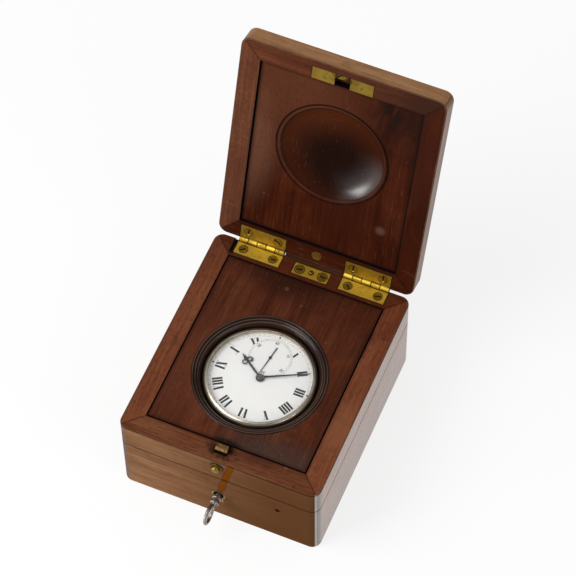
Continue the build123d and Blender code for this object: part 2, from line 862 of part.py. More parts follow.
bead_length = 2 * (hinge_spread - hinge_length / 2 - bead_end_gap)
with BuildPart() as back_bead:
    with Locations((0, rear_y, tray_top)):
        Box(bead_length, bead_thickness, bead_height, align=(Align.CENTER, Align.MIN, Align.MAX))
    fillet(back_bead.edges().filter_by(Axis.X).group_by(Axis.Y)[-1], bead_round)
keep(back_bead.part, "back_bead")

bolt_pocket_depth = bolt_throw + keep_clearance
with BuildPart() as tray_front_rail:
    add(frame_side(tray_low_plane, tray_rail_height, rim_width, tray_groove_rise, "front"))
    with Locations((0, front_y + catch_slot_front, catch_slot_floor)):
        Box(2 * catch_slot_half, rim_width, tray_top, align=front_aligned, mode=Mode.SUBTRACT)
    with Locations((0, front_y + catch_front + catch_thickness / 2, catch_pivot_height)):
        Cylinder(catch_pin_radius, catch_pin_length, rotation=(0, 90, 0), mode=Mode.SUBTRACT)
    with BuildSketch(button_face):
        Circle(bush_radius)
    extrude(amount=-bush_depth, mode=Mode.SUBTRACT)
    with BuildSketch(button_face):
        Circle(button_stem_bore)
    extrude(amount=-rim_width, mode=Mode.SUBTRACT)
    with Locations((0, front_y + keep_front, tray_low)):
        Box(2 * keep_half_width, keep_width, keep_thickness, align=front_aligned,
            mode=Mode.SUBTRACT)
    with Locations((0, front_y + bolt_front - keep_clearance, tray_low)):
        Box(2 * (bolt_half_width + keep_clearance), bolt_thickness + 2 * keep_clearance,
            bolt_pocket_depth, align=front_aligned, mode=Mode.SUBTRACT)
    drill(keep_screw_list)
keep(tray_front_rail.part, "tray_front_rail")

with BuildPart() as tray_panel:
    add(tongued_panel(Plane.XY.offset(tray_panel_low), tray_panel_thickness, 0, rim_width,
                      tray_groove_width))
    with BuildSketch(Plane.XY.offset(tray_top)):
        with Locations((0, watch_y)):
            Circle(ring_flange_radius)
    extrude(amount=-ring_rebate, mode=Mode.SUBTRACT)
    with BuildSketch(Plane.XY.offset(tray_top)):
        with Locations((0, watch_y)):
            Circle(ring_body_radius)
    extrude(amount=-tray_panel_thickness, mode=Mode.SUBTRACT)
    with Locations((0, front_y, catch_slot_floor)):
        Box(2 * catch_slot_half, catch_slot_back, tray_top, align=front_aligned,
            mode=Mode.SUBTRACT)
keep(tray_panel.part, "tray_panel")

# The turned ring: two beads and a cove that steps down round the watch
first_bead = ring_flange_radius - ring_bead_radius
second_bead = first_bead - ring_bead_radius - ring_quirk - ring_second_bead_radius
cove_start = second_bead - ring_second_bead_radius
with BuildPart() as aperture_ring:
    with BuildSketch(upright(0, watch_y, tray_top)):
        with BuildLine():
            Line((ring_flange_radius, -ring_rebate), (ring_flange_radius, -ring_quirk))
            ThreePointArc(
                (ring_flange_radius, -ring_quirk),
                (first_bead, ring_bead_radius - ring_quirk),
                (first_bead - ring_bead_radius, -ring_quirk),
            )
            Polyline(
                (first_bead - ring_bead_radius, -ring_quirk),
                (first_bead - ring_bead_radius, -2 * ring_quirk),
                (second_bead + ring_second_bead_radius, -2 * ring_quirk),
            )
            ThreePointArc(
                (second_bead + ring_second_bead_radius, -2 * ring_quirk),
                (second_bead, ring_second_bead_radius - 2 * ring_quirk),
                (cove_start, -2 * ring_quirk),
            )
            Line((cove_start, -2 * ring_quirk), (cove_start, -3 * ring_quirk))
            ThreePointArc(
                (cove_start, -3 * ring_quirk),
                ((cove_start + 3 * ring_bore_radius) / 4, -3 * ring_quirk - ring_cove_drop / 2),
                (ring_bore_radius, -3 * ring_quirk - ring_cove_drop),
            )
            Polyline(
                (ring_bore_radius, -3 * ring_quirk - ring_cove_drop),
                (ring_bore_radius, -ring_drop),
                (ring_body_radius, -ring_drop),
                (ring_body_radius, -ring_rebate),
                (ring_flange_radius, -ring_rebate),
            )
        make_face()
    revolve(axis=watch_axis)
keep(aperture_ring.part, "aperture_ring")

with BuildPart() as lock_keep:
    with Locations((0, front_y + keep_front, tray_low)):
        Box(2 * keep_half_width, keep_width, keep_thickness, align=front_aligned)
    with Locations((0, front_y + bolt_front - keep_clearance, tray_low)):
        Box(2 * (bolt_half_width + keep_clearance), bolt_thickness + 2 * keep_clearance,
            keep_thickness, align=front_aligned, mode=Mode.SUBTRACT)
    countersink(keep_screw_list)
keep(lock_keep.part, "lock_keep")

for side in hinge_sides:
    with BuildPart() as lid_hinge_lower_leaf:
        add(hinge_leaf(tray_pins[side], tray_leaf_surface, tray_own[side], pin_radius))
    keep(lid_hinge_lower_leaf.part, f"lid_hinge_{side}_lower_leaf")

with BuildPart() as seam_hinge_tray_leaves:
    for side in hinge_sides:
        add(hinge_leaf(under_pins[side], seam_surface, (0, 2, 4), pin_radius))
keep(seam_hinge_tray_leaves.part, "seam_hinge_tray_leaves")

with BuildPart() as hinge_pins:
    for plane in list(tray_pins.values()) + list(under_pins.values()):
        with Locations(plane.location):
            Cylinder(pin_radius, hinge_length, rotation=(0, 90, 0))
keep(hinge_pins.part, "hinge_pins")

with BuildPart() as tray_screws:
    add(screw_set(tray_hinge_screw_list))
    add(screw_set(lifter_screw_list))
    add(screw_set(under_screw_list))
    add(screw_set(keep_screw_list))
keep(tray_screws.part, "tray_screws")

with BuildPart() as lifter_plate:
    with Locations((lifter_x, lifter_y, tray_top)):
        Box(lifter_length, lifter_width, lifter_thickness, align=top_aligned)
        Cylinder(plunger_radius + running_clearance, lifter_thickness, align=top_aligned,
                 mode=Mode.SUBTRACT)
    countersink(lifter_screw_list)
keep(lifter_plate.part, "lifter_plate")

collar_top = tray_top - lifter_thickness - plunger_clearance
collar_low = collar_top - plunger_collar_height
with BuildPart() as lifter_plunger:
    with Locations((lifter_x, lifter_y, collar_low)):
        Cylinder(plunger_collar_radius, plunger_collar_height, align=bottom_aligned)
        Cylinder(plunger_radius, tray_top + plunger_stand - collar_low, align=bottom_aligned)
    fillet(lifter_plunger.edges().sort_by(Axis.Z)[-1], plunger_radius / 2)
keep(lifter_plunger.part, "lifter_plunger")

with BuildPart() as lifter_spring:
    with Locations((lifter_x, lifter_y, collar_low)):
        Cylinder(plunger_collar_radius - plunger_clearance, lifter_spring_length, align=top_aligned)
        Cylinder(plunger_collar_radius - plunger_clearance - lifter_spring_wall,
                 lifter_spring_length, align=top_aligned, mode=Mode.SUBTRACT)
keep(lifter_spring.part, "lifter_spring")

with BuildPart() as button_bush:
    with BuildSketch(button_face.offset(bush_stand)):
        Circle(bush_radius)
        Circle(button_radius + running_clearance, mode=Mode.SUBTRACT)
    extrude(amount=-(bush_stand + bush_depth))
    chamfer(button_bush.faces().sort_by(Axis.Y)[0].outer_wire().edges(), bush_stand / 3)
keep(button_bush.part, "button_bush")

button_shoulder = bush_depth - button_tip_gap - button_room
stem_end = catch_front - button_tip_gap
with BuildPart() as push_button:
    with BuildSketch(button_face.offset(button_stand)):
        Circle(button_radius)
    extrude(amount=-(button_stand + button_shoulder))
    fillet(push_button.faces().sort_by(Axis.Y)[0].edges(), button_radius / 2)
    with BuildSketch(button_face):
        Circle(button_stem_radius)
    extrude(amount=-stem_end)
    fillet(push_button.faces().sort_by(Axis.Y)[-1].edges(), button_stem_radius * button_tip_round)
keep(push_button.part, "push_button")

# The catch: a lever on a pin low in the rail, with a nose that hooks forward over the strike
catch_top = tray_top + catch_rise
nose_low = catch_top - catch_nose_height
catch_back = catch_front + catch_thickness
catch_axle = catch_front + catch_thickness / 2
lever_plane = Plane(origin=(0, front_y, 0), x_dir=(0, 1, 0), z_dir=(1, 0, 0))
with BuildPart() as lid_catch:
    with BuildSketch(lever_plane):
        with BuildLine():
            Polyline(
                (catch_front, catch_pivot_height),
                (catch_front, nose_low),
                (catch_front - catch_nose, nose_low),
                (catch_front - catch_nose, nose_low + catch_nose_height / 2),
                (catch_front, catch_top),
                (catch_back, catch_top),
                (catch_back, catch_pivot_height),
                close=True,
            )
        make_face()
        with Locations((catch_axle, catch_pivot_height)):
            Circle(catch_thickness / 2)
            Circle(catch_pin_radius + running_clearance, mode=Mode.SUBTRACT)
    extrude(amount=catch_width / 2, both=True)
keep(lid_catch.part, "lid_catch")

with BuildPart() as catch_pivot_pin:
    with Locations((0, front_y + catch_axle, catch_pivot_height)):
        Cylinder(catch_pin_radius, catch_pin_length, rotation=(0, 90, 0))
keep(catch_pivot_pin.part, "catch_pivot_pin")

spring_tip = catch_slot_back - catch_spring_gap
leaf = catch_spring_thickness
with BuildPart() as catch_spring:
    with BuildSketch(lever_plane):
        with BuildLine():
            Polyline(
                (catch_back, catch_spring_start),
                (catch_back, catch_spring_start + 3 * leaf),
                (spring_tip - leaf, catch_spring_tip_height),
                (spring_tip, catch_spring_tip_height),
                (spring_tip, catch_spring_tip_height - leaf),
                (catch_back + leaf, catch_spring_start + 2 * leaf),
                (catch_back + leaf, catch_spring_start),
                close=True,
            )
        make_face()
    extrude(amount=catch_spring_width / 2, both=True)
keep(catch_spring.part, "catch_spring")

# Lid, modelled as it lies closed and turned open about its hinge
lid_low_plane = open_lid(Plane.XY.offset(lid_low))
lid_groove_rise = lid_recess + lid_tongue_rise
strike_plane = open_lid(Plane(origin=(0, front_y, lid_low)))
disc_plane = open_lid(Plane(origin=(lifter_x, lifter_y, lid_low)))

for side in ("left", "right"):
    with BuildPart() as lid_side_rail:
        add(frame_side(lid_low_plane, lid_thickness, rim_width, lid_groove_rise, side))
    keep(lid_side_rail.part, f"lid_{side}_rail")

with BuildPart() as lid_back_rail:
    add(frame_side(lid_low_plane, lid_thickness, rim_width, lid_groove_rise, "back"))
    for side in hinge_sides:
        let_in(lid_pins[side], lid_leaf_surface)
    drill(lid_hinge_screw_list)
    with Locations(disc_plane):
        Cylinder(disc_radius, disc_thickness, align=bottom_aligned, mode=Mode.SUBTRACT)
keep(lid_back_rail.part, "lid_back_rail")

with BuildPart() as lid_front_rail:
    add(frame_side(lid_low_plane, lid_thickness, rim_width, lid_groove_rise, "front"))
    with Locations(strike_plane.location * Location((0, strike_front, 0))):
        Box(strike_length, strike_width, strike_thickness, align=front_aligned,
            mode=Mode.SUBTRACT)
    with Locations(strike_plane.location * Location((0, catch_slot_front, 0))):
        Box(strike_notch_width, rim_width, strike_pocket_depth, align=front_aligned,
            mode=Mode.SUBTRACT)
    drill(strike_screw_list)
keep(lid_front_rail.part, "lid_front_rail")

dish_plane = open_lid(upright(0, watch_y, lid_panel_face))
dish_axis = Axis(dish_plane.origin, dish_plane.y_dir)
with BuildPart() as lid_panel:
    add(tongued_panel(open_lid(Plane.XY.offset(lid_panel_face)), lid_thickness - lid_recess,
                      lid_tongue_rise, rim_width, lid_groove_width))
    with BuildSketch(dish_plane):
        with BuildLine():
            Polyline((0, dish_depth), (0, -dish_lip), (dish_radius, -dish_lip), (dish_radius, 0))
            ThreePointArc(
                (dish_radius, 0),
                (dish_radius - dish_lip * dish_lip_end, dish_lip * dish_lip_mid),
                (dish_radius - dish_lip, dish_lip * dish_lip_end),
            )
            Spline(
                (dish_radius - dish_lip, dish_lip * dish_lip_end),
                (dish_radius * dish_shoulder_share, dish_depth * dish_shoulder_fall),
                (dish_radius * dish_bowl_share, dish_depth * dish_bowl_fall),
                (0, dish_depth),
                tangents=((-1, dish_lip_end), (-1, 0)),
            )
        make_face()
    revolve(axis=dish_axis, mode=Mode.SUBTRACT)
    with BuildSketch(dish_plane):
        with Locations((dish_line_radius, 0)):
            Circle(dish_line_size)
    revolve(axis=dish_axis, mode=Mode.SUBTRACT)
keep(lid_panel.part, "lid_panel")

with BuildPart() as strike_plate:
    with Locations(strike_plane.location * Location((0, strike_front, 0))):
        Box(strike_length, strike_width, strike_thickness, align=front_aligned)
    with Locations(strike_plane.location * Location((0, strike_notch_front, 0))):
        Box(strike_notch_width, strike_width, strike_thickness, align=front_aligned,
            mode=Mode.SUBTRACT)
    countersink(strike_screw_list)
keep(strike_plate.part, "strike_plate")

with BuildPart() as bearing_disc:
    with Locations(disc_plane):
        Cylinder(disc_radius, disc_thickness, align=bottom_aligned)
keep(bearing_disc.part, "bearing_disc")

for side in hinge_sides:
    with BuildPart() as lid_hinge_upper_leaf:
        bore = pin_radius + running_clearance
        add(hinge_leaf(lid_pins[side], lid_leaf_surface, lid_own[side], bore))
    keep(lid_hinge_upper_leaf.part, f"lid_hinge_{side}_upper_leaf")

with BuildPart() as lid_screws:
    add(screw_set(lid_hinge_screw_list))
    add(screw_set(strike_screw_list))
keep(lid_screws.part, "lid_screws")

# Watch case, glass and dial
watch_section = upright(0, watch_y, 0)
case_inner_floor = case_back_height + case_floor_thickness
with BuildPart() as watch_case:
    with BuildSketch(watch_section):
        with BuildLine():
            Line((0, case_back_height), (case_back_flat_radius, case_back_height))
            ThreePointArc(
                (case_back_flat_radius, case_back_height),
                ((case_back_flat_radius + 2 * case_radius) / 3,
                 (2 * case_back_height + case_shoulder_height) / 3),
                (case_radius, case_shoulder_height),
            )
            Polyline(
                (case_radius, case_shoulder_height),
                (case_radius, bezel_height),
                (case_step_radius, bezel_height),
                (case_step_radius, dial_height),
                (case_bore_radius, dial_height),
                (case_bore_radius, case_shoulder_height),
                (case_back_flat_radius, case_inner_floor),
                (0, case_inner_floor),
                (0, case_back_height),
            )
        make_face()
    revolve(axis=watch_axis)
keep(watch_case.part, "watch_case")

crystal_edge_top = crystal_edge_height + crystal_edge_thickness
with BuildPart() as watch_bezel:
    with BuildSketch(watch_section):
        with BuildLine():
            Line((bezel_radius, bezel_height), (bezel_radius, dial_top))
            ThreePointArc(
                (bezel_radius, dial_top),
                ((2 * bezel_radius + bezel_ledge_radius) / 3, (3 * bezel_top + dial_top) / 4),
                (bezel_ledge_radius, bezel_top),
            )
            Polyline(
                (bezel_ledge_radius, bezel_top),
                (bezel_ledge_radius, crystal_edge_top),
                (bezel_groove_radius, crystal_edge_top),
                (bezel_groove_radius, crystal_edge_height),
                (bezel_ledge_radius, crystal_edge_height),
                (bezel_ledge_radius, dial_top),
                (case_step_radius, dial_top),
                (case_step_radius, bezel_height),
                (bezel_radius, bezel_height),
            )
        make_face()
    revolve(axis=watch_axis)
keep(watch_bezel.part, "watch_bezel")

crystal_rim = bezel_ledge_radius - running_clearance
crystal_mid = crystal_rim / 2
dome_rise = crystal_rise + crystal_thickness - crystal_edge_thickness
inner_mid = crystal_edge_height + cap_height(crystal_rim, crystal_rise, crystal_mid)
outer_mid = crystal_edge_top + cap_height(crystal_rim, dome_rise, crystal_mid)
with BuildPart() as watch_crystal:
    with BuildSketch(watch_section):
        with BuildLine():
            Polyline(
                (crystal_rim, crystal_edge_top),
                (bezel_groove_radius, crystal_edge_top),
                (bezel_groove_radius, crystal_edge_height),
                (crystal_rim, crystal_edge_height),
            )
            ThreePointArc(
                (crystal_rim, crystal_edge_height),
                (crystal_mid, inner_mid),
                (0, crystal_edge_height + crystal_rise),
            )
            Line(
                (0, crystal_edge_height + crystal_rise),
                (0, crystal_edge_height + crystal_rise + crystal_thickness),
            )
            ThreePointArc(
                (0, crystal_edge_height + crystal_rise + crystal_thickness),
                (crystal_mid, outer_mid),
                (crystal_rim, crystal_edge_top),
            )
        make_face()
    revolve(axis=watch_axis)
keep(watch_crystal.part, "watch_crystal")

centre = (0, watch_y)
fourth_centre = (0, watch_y + seconds_offset)
with BuildPart() as watch_dial:
    with BuildSketch(Plane.XY.offset(dial_height)):
        with Locations(centre):
            Circle(dial_radius)
            Circle(hour_pipe_radius + hand_gap, mode=Mode.SUBTRACT)
        with Locations(fourth_centre):
            Circle(seconds_arbor_radius + hand_gap, mode=Mode.SUBTRACT)
    extrude(amount=dial_thickness)
keep(watch_dial.part, "watch_dial")

ball_y = watch_y + pendant_ball_reach
with BuildPart() as watch_pendant:
    with BuildSketch(upright(0, watch_y + case_radius, pendant_height)):
        Circle(pendant_neck_radius)
    extrude(amount=-(pendant_ball_reach - case_radius))
    with Locations((0, ball_y, pendant_height)):
        Sphere(pendant_ball_radius)
keep(watch_pendant.part, "watch_pendant")

eye_near = pendant_ball_radius + bow_eye_gap
eye_mid = eye_near + bow_eye_width / 2
bow_drop = math.sqrt(bow_radius ** 2 - eye_mid ** 2)
bow_lean = math.degrees(math.asin(eye_mid / bow_radius))
with BuildPart() as watch_bow:
    with BuildLine(Plane.XY.offset(pendant_height)) as bow_path:
        CenterArc((0, ball_y + bow_drop), bow_radius, bow_lean - 90, 360 - 2 * bow_lean)
    with BuildSketch(bow_path.line ^ 0):
        Circle(bow_wire)
    sweep(path=bow_path.line)
    for x in (-eye_mid, eye_mid):
        with Locations((x, ball_y, pendant_height)):
            Cylinder(bow_eye_radius, bow_eye_width, rotation=(0, 90, 0))
keep(watch_bow.part, "watch_bow")

# Movement: plates, pillars and the going train
third_pitch = centre_module * (centre_teeth + third_pinion_teeth) / 2
fourth_pitch = third_module * (third_teeth + fourth_pinion_teeth) / 2
barrel_pitch = barrel_module * (barrel_teeth + centre_pinion_teeth) / 2
third_cosine = (third_pitch ** 2 + seconds_offset ** 2 - fourth_pitch ** 2) / (
    2 * third_pitch * seconds_offset)
third_lean = math.degrees(math.acos(third_cosine))
third_centre = around(centre, third_pitch, 90 - third_lean)
barrel_centre = around(centre, barrel_pitch, barrel_angle)
balance_centre = around(centre, balance_circle, balance_angle)
plate_holes = {
    centre: centre_arbor_radius,
    fourth_centre: seconds_arbor_radius,
    third_centre: arbor_radius,
    barrel_centre: arbor_radius,
    balance_centre: arbor_radius,
}
arbor_low = back_plate_low + running_clearance
arbor_top = pillar_plate_low + plate_thickness - running_clearance

with BuildPart() as movement_back_plate:
    with BuildSketch(Plane.XY.offset(back_plate_low)):
        with Locations(centre):
            Circle(back_plate_radius)
        for place, radius in plate_holes.items():
            with Locations(place):
                Circle(radius + running_clearance, mode=Mode.SUBTRACT)
    extrude(amount=plate_thickness)
keep(movement_back_plate.part, "movement_back_plate")

with BuildPart() as movement_pillar_plate:
    with BuildSketch(Plane.XY.offset(pillar_plate_low)):
        with Locations(centre):
            Circle(case_bore_radius)
        for place, radius in plate_holes.items():
            with Locations(place):
                Circle(radius + running_clearance, mode=Mode.SUBTRACT)
    extrude(amount=plate_thickness)
    with BuildSketch(Plane.XY.offset(back_plate_low + plate_thickness)):
        with Locations(centre):
            with PolarLocations(pillar_circle, pillar_count):
                Circle(pillar_radius)
    extrude(amount=pillar_plate_low - back_plate_low - plate_thickness)
keep(movement_pillar_plate.part, "movement_pillar_plate")


def train_wheel(place, height, teeth, module, phase, hub):
    """A toothed wheel with round crossings."""
    rim = module * (teeth / 2 - wheel_rim_modules)
    hole = (rim - hub) * wheel_hole_share
    with BuildPart() as wheel:
        with BuildSketch(Plane.XY.offset(height)):
            with BuildLine():
                Polyline(*tooth_outline(teeth, module, place, phase), close=True)
            make_face()
            with Locations(place):
                with PolarLocations((rim + hub) / 2, wheel_hole_count):
                    Circle(hole, mode=Mode.SUBTRACT)
        extrude(amount=wheel_thickness)
    return wheel.part


def pinion(place, height, teeth, module, phase):
    """A pinion that stands over and under the wheel it meshes with."""
    with BuildPart() as leaves:
        with BuildSketch(Plane.XY.offset(height - pinion_overhang)):
            with BuildLine():
                Polyline(*tooth_outline(teeth, module, place, phase), close=True)
            make_face()
        extrude(amount=wheel_thickness + 2 * pinion_overhang)
    return leaves.part


def arbor(place, radius, low, top):
    """A plain round arbor."""
    with BuildPart() as shaft:
        with BuildSketch(Plane.XY.offset(low)):
            with Locations(place):
                Circle(radius)
        extrude(amount=top - low)
    return shaft.part


to_third = bearing(centre, third_centre)
to_fourth = bearing(third_centre, fourth_centre)
half_turn = 180
with BuildPart() as centre_wheel:
    add(train_wheel(centre, centre_wheel_height, centre_teeth, centre_module, to_third,
                    wheel_hub_radius))
    add(pinion(centre, barrel_teeth_height, centre_pinion_teeth, barrel_module, barrel_angle))
    add(arbor(centre, centre_arbor_radius, arbor_low, dial_top + minute_level))
keep(centre_wheel.part, "centre_wheel")

with BuildPart() as third_wheel:
    add(train_wheel(third_centre, third_wheel_height, third_teeth, third_module, to_fourth,
                    wheel_hub_radius))
    add(pinion(third_centre, centre_wheel_height, third_pinion_teeth, centre_module,
               to_third + half_turn + half_turn / third_pinion_teeth))
    add(arbor(third_centre, arbor_radius, arbor_low, arbor_top))
keep(third_wheel.part, "third_wheel")

with BuildPart() as fourth_wheel:
    add(train_wheel(fourth_centre, fourth_wheel_height, fourth_teeth, fourth_module, 0,
                    wheel_hub_radius))
    add(pinion(fourth_centre, third_wheel_height, fourth_pinion_teeth, third_module,
               to_fourth + half_turn + half_turn / fourth_pinion_teeth))
    add(arbor(fourth_centre, seconds_arbor_radius, arbor_low, dial_top + seconds_level))
keep(fourth_wheel.part, "fourth_wheel")

drum_radius = barrel_module * barrel_teeth / 2 - barrel_drum_inset
with BuildPart() as mainspring_barrel:
    with BuildSketch(Plane.XY.offset(barrel_drum_height)):
        with Locations(barrel_centre):
            Circle(drum_radius)
    extrude(amount=barrel_teeth_height - barrel_drum_height)
    with BuildSketch(Plane.XY.offset(barrel_teeth_height)):
        with BuildLine():
            Polyline(*tooth_outline(barrel_teeth, barrel_module, barrel_centre,
                                    barrel_angle + half_turn + half_turn / barrel_teeth), close=True)
        make_face()
    extrude(amount=wheel_thickness)
    add(arbor(barrel_centre, arbor_radius, arbor_low, arbor_top))
keep(mainspring_barrel.part, "mainspring_barrel")

with BuildPart() as balance_wheel:
    with BuildSketch(Plane.XY.offset(balance_height)):
        with Locations(balance_centre):
            Circle(balance_radius)
            Circle(balance_radius - balance_rim, mode=Mode.SUBTRACT)
            Rectangle(2 * balance_radius - balance_rim, balance_arm_width)
            Circle(wheel_hub_radius)
    extrude(amount=balance_thickness)
    add(arbor(balance_centre, arbor_radius, arbor_low, arbor_top))
keep(balance_wheel.part, "balance_wheel")

# Hands
hour_pipe_low = pillar_plate_low + plate_thickness + running_clearance
hour_hand_plane = hand_plane(centre, hour_level, hour_angle)
with BuildPart() as hour_hand:
    with BuildSketch(hour_hand_plane):
        Circle(hour_hub_radius)
        with BuildLine():
            Polyline(
                (-hour_blade_width / 2, 0),
                (-hour_blade_width / 2, hour_curl_reach),
                (-hour_blade_width, hour_curl_reach + hour_curl_radius),
                (0, hour_length),
                (hour_blade_width, hour_curl_reach + hour_curl_radius),
                (hour_blade_width / 2, hour_curl_reach),
                (hour_blade_width / 2, 0),
                close=True,
            )
        make_face()
        with Locations((-hour_curl_spread, hour_curl_reach), (hour_curl_spread, hour_curl_reach)):
            Circle(hour_curl_radius)
            Circle(hour_curl_radius - hour_curl_wall, mode=Mode.SUBTRACT)
    extrude(amount=hand_thickness)
    with BuildSketch(Plane.XY.offset(hour_pipe_low)):
        with Locations(centre):
            Circle(hour_pipe_radius)
    extrude(amount=dial_top + hour_level - hour_pipe_low)
    with BuildSketch(Plane.XY.offset(hour_pipe_low)):
        with Locations(centre):
            Circle(centre_arbor_radius + running_clearance)
    extrude(amount=minute_level + dial_top - hour_pipe_low, mode=Mode.SUBTRACT)
keep(hour_hand.part, "hour_hand")

with BuildPart() as minute_hand:
    with BuildSketch(hand_plane(centre, minute_level, minute_angle)):
        Circle(minute_hub_radius)
        with BuildLine():
            Polyline(
                (-minute_root_width / 2, 0),
                (-minute_tip_width / 2, minute_length - minute_tip_width),
                (0, minute_length),
                (minute_tip_width / 2, minute_length - minute_tip_width),
                (minute_root_width / 2, 0),
                close=True,
            )
        make_face()
    extrude(amount=hand_thickness)
    with BuildSketch(hand_plane(centre, minute_level + hand_thickness, minute_angle)):
        Circle(boss_radius)
    extrude(amount=boss_rise)
keep(minute_hand.part, "minute_hand")

with BuildPart() as seconds_hand:
    with BuildSketch(hand_plane(fourth_centre, seconds_level, seconds_angle)):
        Circle(seconds_hub_radius)
        with BuildLine():
            Polyline(
                (-seconds_root_width / 2, -seconds_tail),
                (-seconds_root_width / 2, 0),
                (-seconds_tip_width / 2, seconds_pointer),
                (seconds_tip_width / 2, seconds_pointer),
                (seconds_root_width / 2, 0),
                (seconds_root_width / 2, -seconds_tail),
                close=True,
            )
        make_face()
    extrude(amount=seconds_hand_thickness)
keep(seconds_hand.part, "seconds_hand")
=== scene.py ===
"""Finishes and fine pieces for a three-tier deck watch box with its watch, lock and key."""

import json
import math

import bmesh
import bpy
from bpy.props import FloatProperty, FloatVectorProperty, PointerProperty
from mathutils import Matrix, Vector


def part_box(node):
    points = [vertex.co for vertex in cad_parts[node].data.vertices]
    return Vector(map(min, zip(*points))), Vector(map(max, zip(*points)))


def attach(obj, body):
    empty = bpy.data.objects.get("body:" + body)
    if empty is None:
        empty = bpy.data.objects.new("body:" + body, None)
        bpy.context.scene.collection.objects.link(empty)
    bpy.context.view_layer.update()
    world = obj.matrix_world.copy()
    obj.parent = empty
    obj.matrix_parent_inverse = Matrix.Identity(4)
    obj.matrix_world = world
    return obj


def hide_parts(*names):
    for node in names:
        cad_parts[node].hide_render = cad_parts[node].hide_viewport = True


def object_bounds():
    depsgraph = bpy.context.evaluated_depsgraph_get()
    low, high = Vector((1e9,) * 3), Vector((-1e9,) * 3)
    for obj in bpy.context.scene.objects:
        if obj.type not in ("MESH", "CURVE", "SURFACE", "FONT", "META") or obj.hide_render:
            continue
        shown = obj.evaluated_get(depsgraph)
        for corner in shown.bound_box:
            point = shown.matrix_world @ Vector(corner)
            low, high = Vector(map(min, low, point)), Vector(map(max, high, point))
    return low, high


bl_info = {
    "name": "Deck Watch Box",
    "version": (1, 0, 0),
    "blender": (4, 5, 0),
    "location": "3D View > Sidebar > Watch Box",
    "description": "Dresses a deck watch box in polished mahogany, brass and enamel",
    "category": "Object",
}

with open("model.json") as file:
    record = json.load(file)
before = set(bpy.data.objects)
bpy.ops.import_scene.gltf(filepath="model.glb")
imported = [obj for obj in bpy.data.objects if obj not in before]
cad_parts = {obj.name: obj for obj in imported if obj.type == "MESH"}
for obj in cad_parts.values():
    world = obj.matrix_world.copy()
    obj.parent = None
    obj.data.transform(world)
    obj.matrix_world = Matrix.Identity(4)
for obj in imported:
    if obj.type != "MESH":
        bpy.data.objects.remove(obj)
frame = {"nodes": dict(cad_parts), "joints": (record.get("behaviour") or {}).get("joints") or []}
cad_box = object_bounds()

MM = 0.001
FULL_TURN = 2 * math.pi
MINUTES = 60
HOURS = 12
QUARTERS = 4
WELD = 0.5e-3 * MM

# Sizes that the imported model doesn't give by itself, in metres
panel_tongue = 2.8 * MM
lid_gap = 0.1 * MM
lid_thickness = 10.6 * MM
corner_radius = 5.2 * MM
dish_margin = 0.6 * MM
leaf_spread = 29.6 * MM
leaf_half = (12.8 * MM, 9.4 * MM)
lifter_middle = (0.5 * MM, 58.2 * MM)
lifter_half = (9.95 * MM, 3.45 * MM)
strike_middle = (0, -56.05 * MM)
strike_half = (16.5 * MM, 3.55 * MM)
spare_hole_x = 32.8 * MM
spare_hole_z = 27.4 * MM

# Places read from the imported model, in metres
half_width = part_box("base_right_wall")[1].x
half_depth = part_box("base_back_wall")[1].y
rim_width = half_width - (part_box("tray_panel")[1].x - panel_tongue)
base_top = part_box("base_left_wall")[1].z
tray_low, tray_top = (corner.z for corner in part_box("tray_left_rail"))
lid_low = tray_top + lid_gap
joints = {joint["name"]: joint for joint in frame["joints"]}
lid_pin = Vector(joints["lid_hinge"]["pos_m"])
lid_swing = math.radians(joints["lid_hinge"]["range_deg"][1])
dial_low, dial_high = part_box("watch_dial")
dial_centre = Vector(((dial_low.x + dial_high.x) / 2, (dial_low.y + dial_high.y) / 2, dial_high.z))
seconds_centre = Vector(joints["seconds_turn"]["pos_m"])
seconds_centre.z = dial_high.z
button_low, button_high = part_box("push_button")
nest_low, nest_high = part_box("nest_lining")
pendant_low, pendant_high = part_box("watch_pendant")
case_low, case_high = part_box("watch_case")
dish_radius = (case_high.x - case_low.x) / 2 + dish_margin
ring_low, ring_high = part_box("aperture_ring")
ring_radius = (ring_high.x - ring_low.x) / 2


def colour_prop(name, description, default):
    """A colour that a user can change."""
    return FloatVectorProperty(name=name, description=description, subtype="COLOR", size=3,
                               min=0.0, max=1.0, default=default)


def length_prop(name, description, default):
    """A length in metres that a user can change."""
    return FloatProperty(name=name, description=description, unit="LENGTH", default=default)


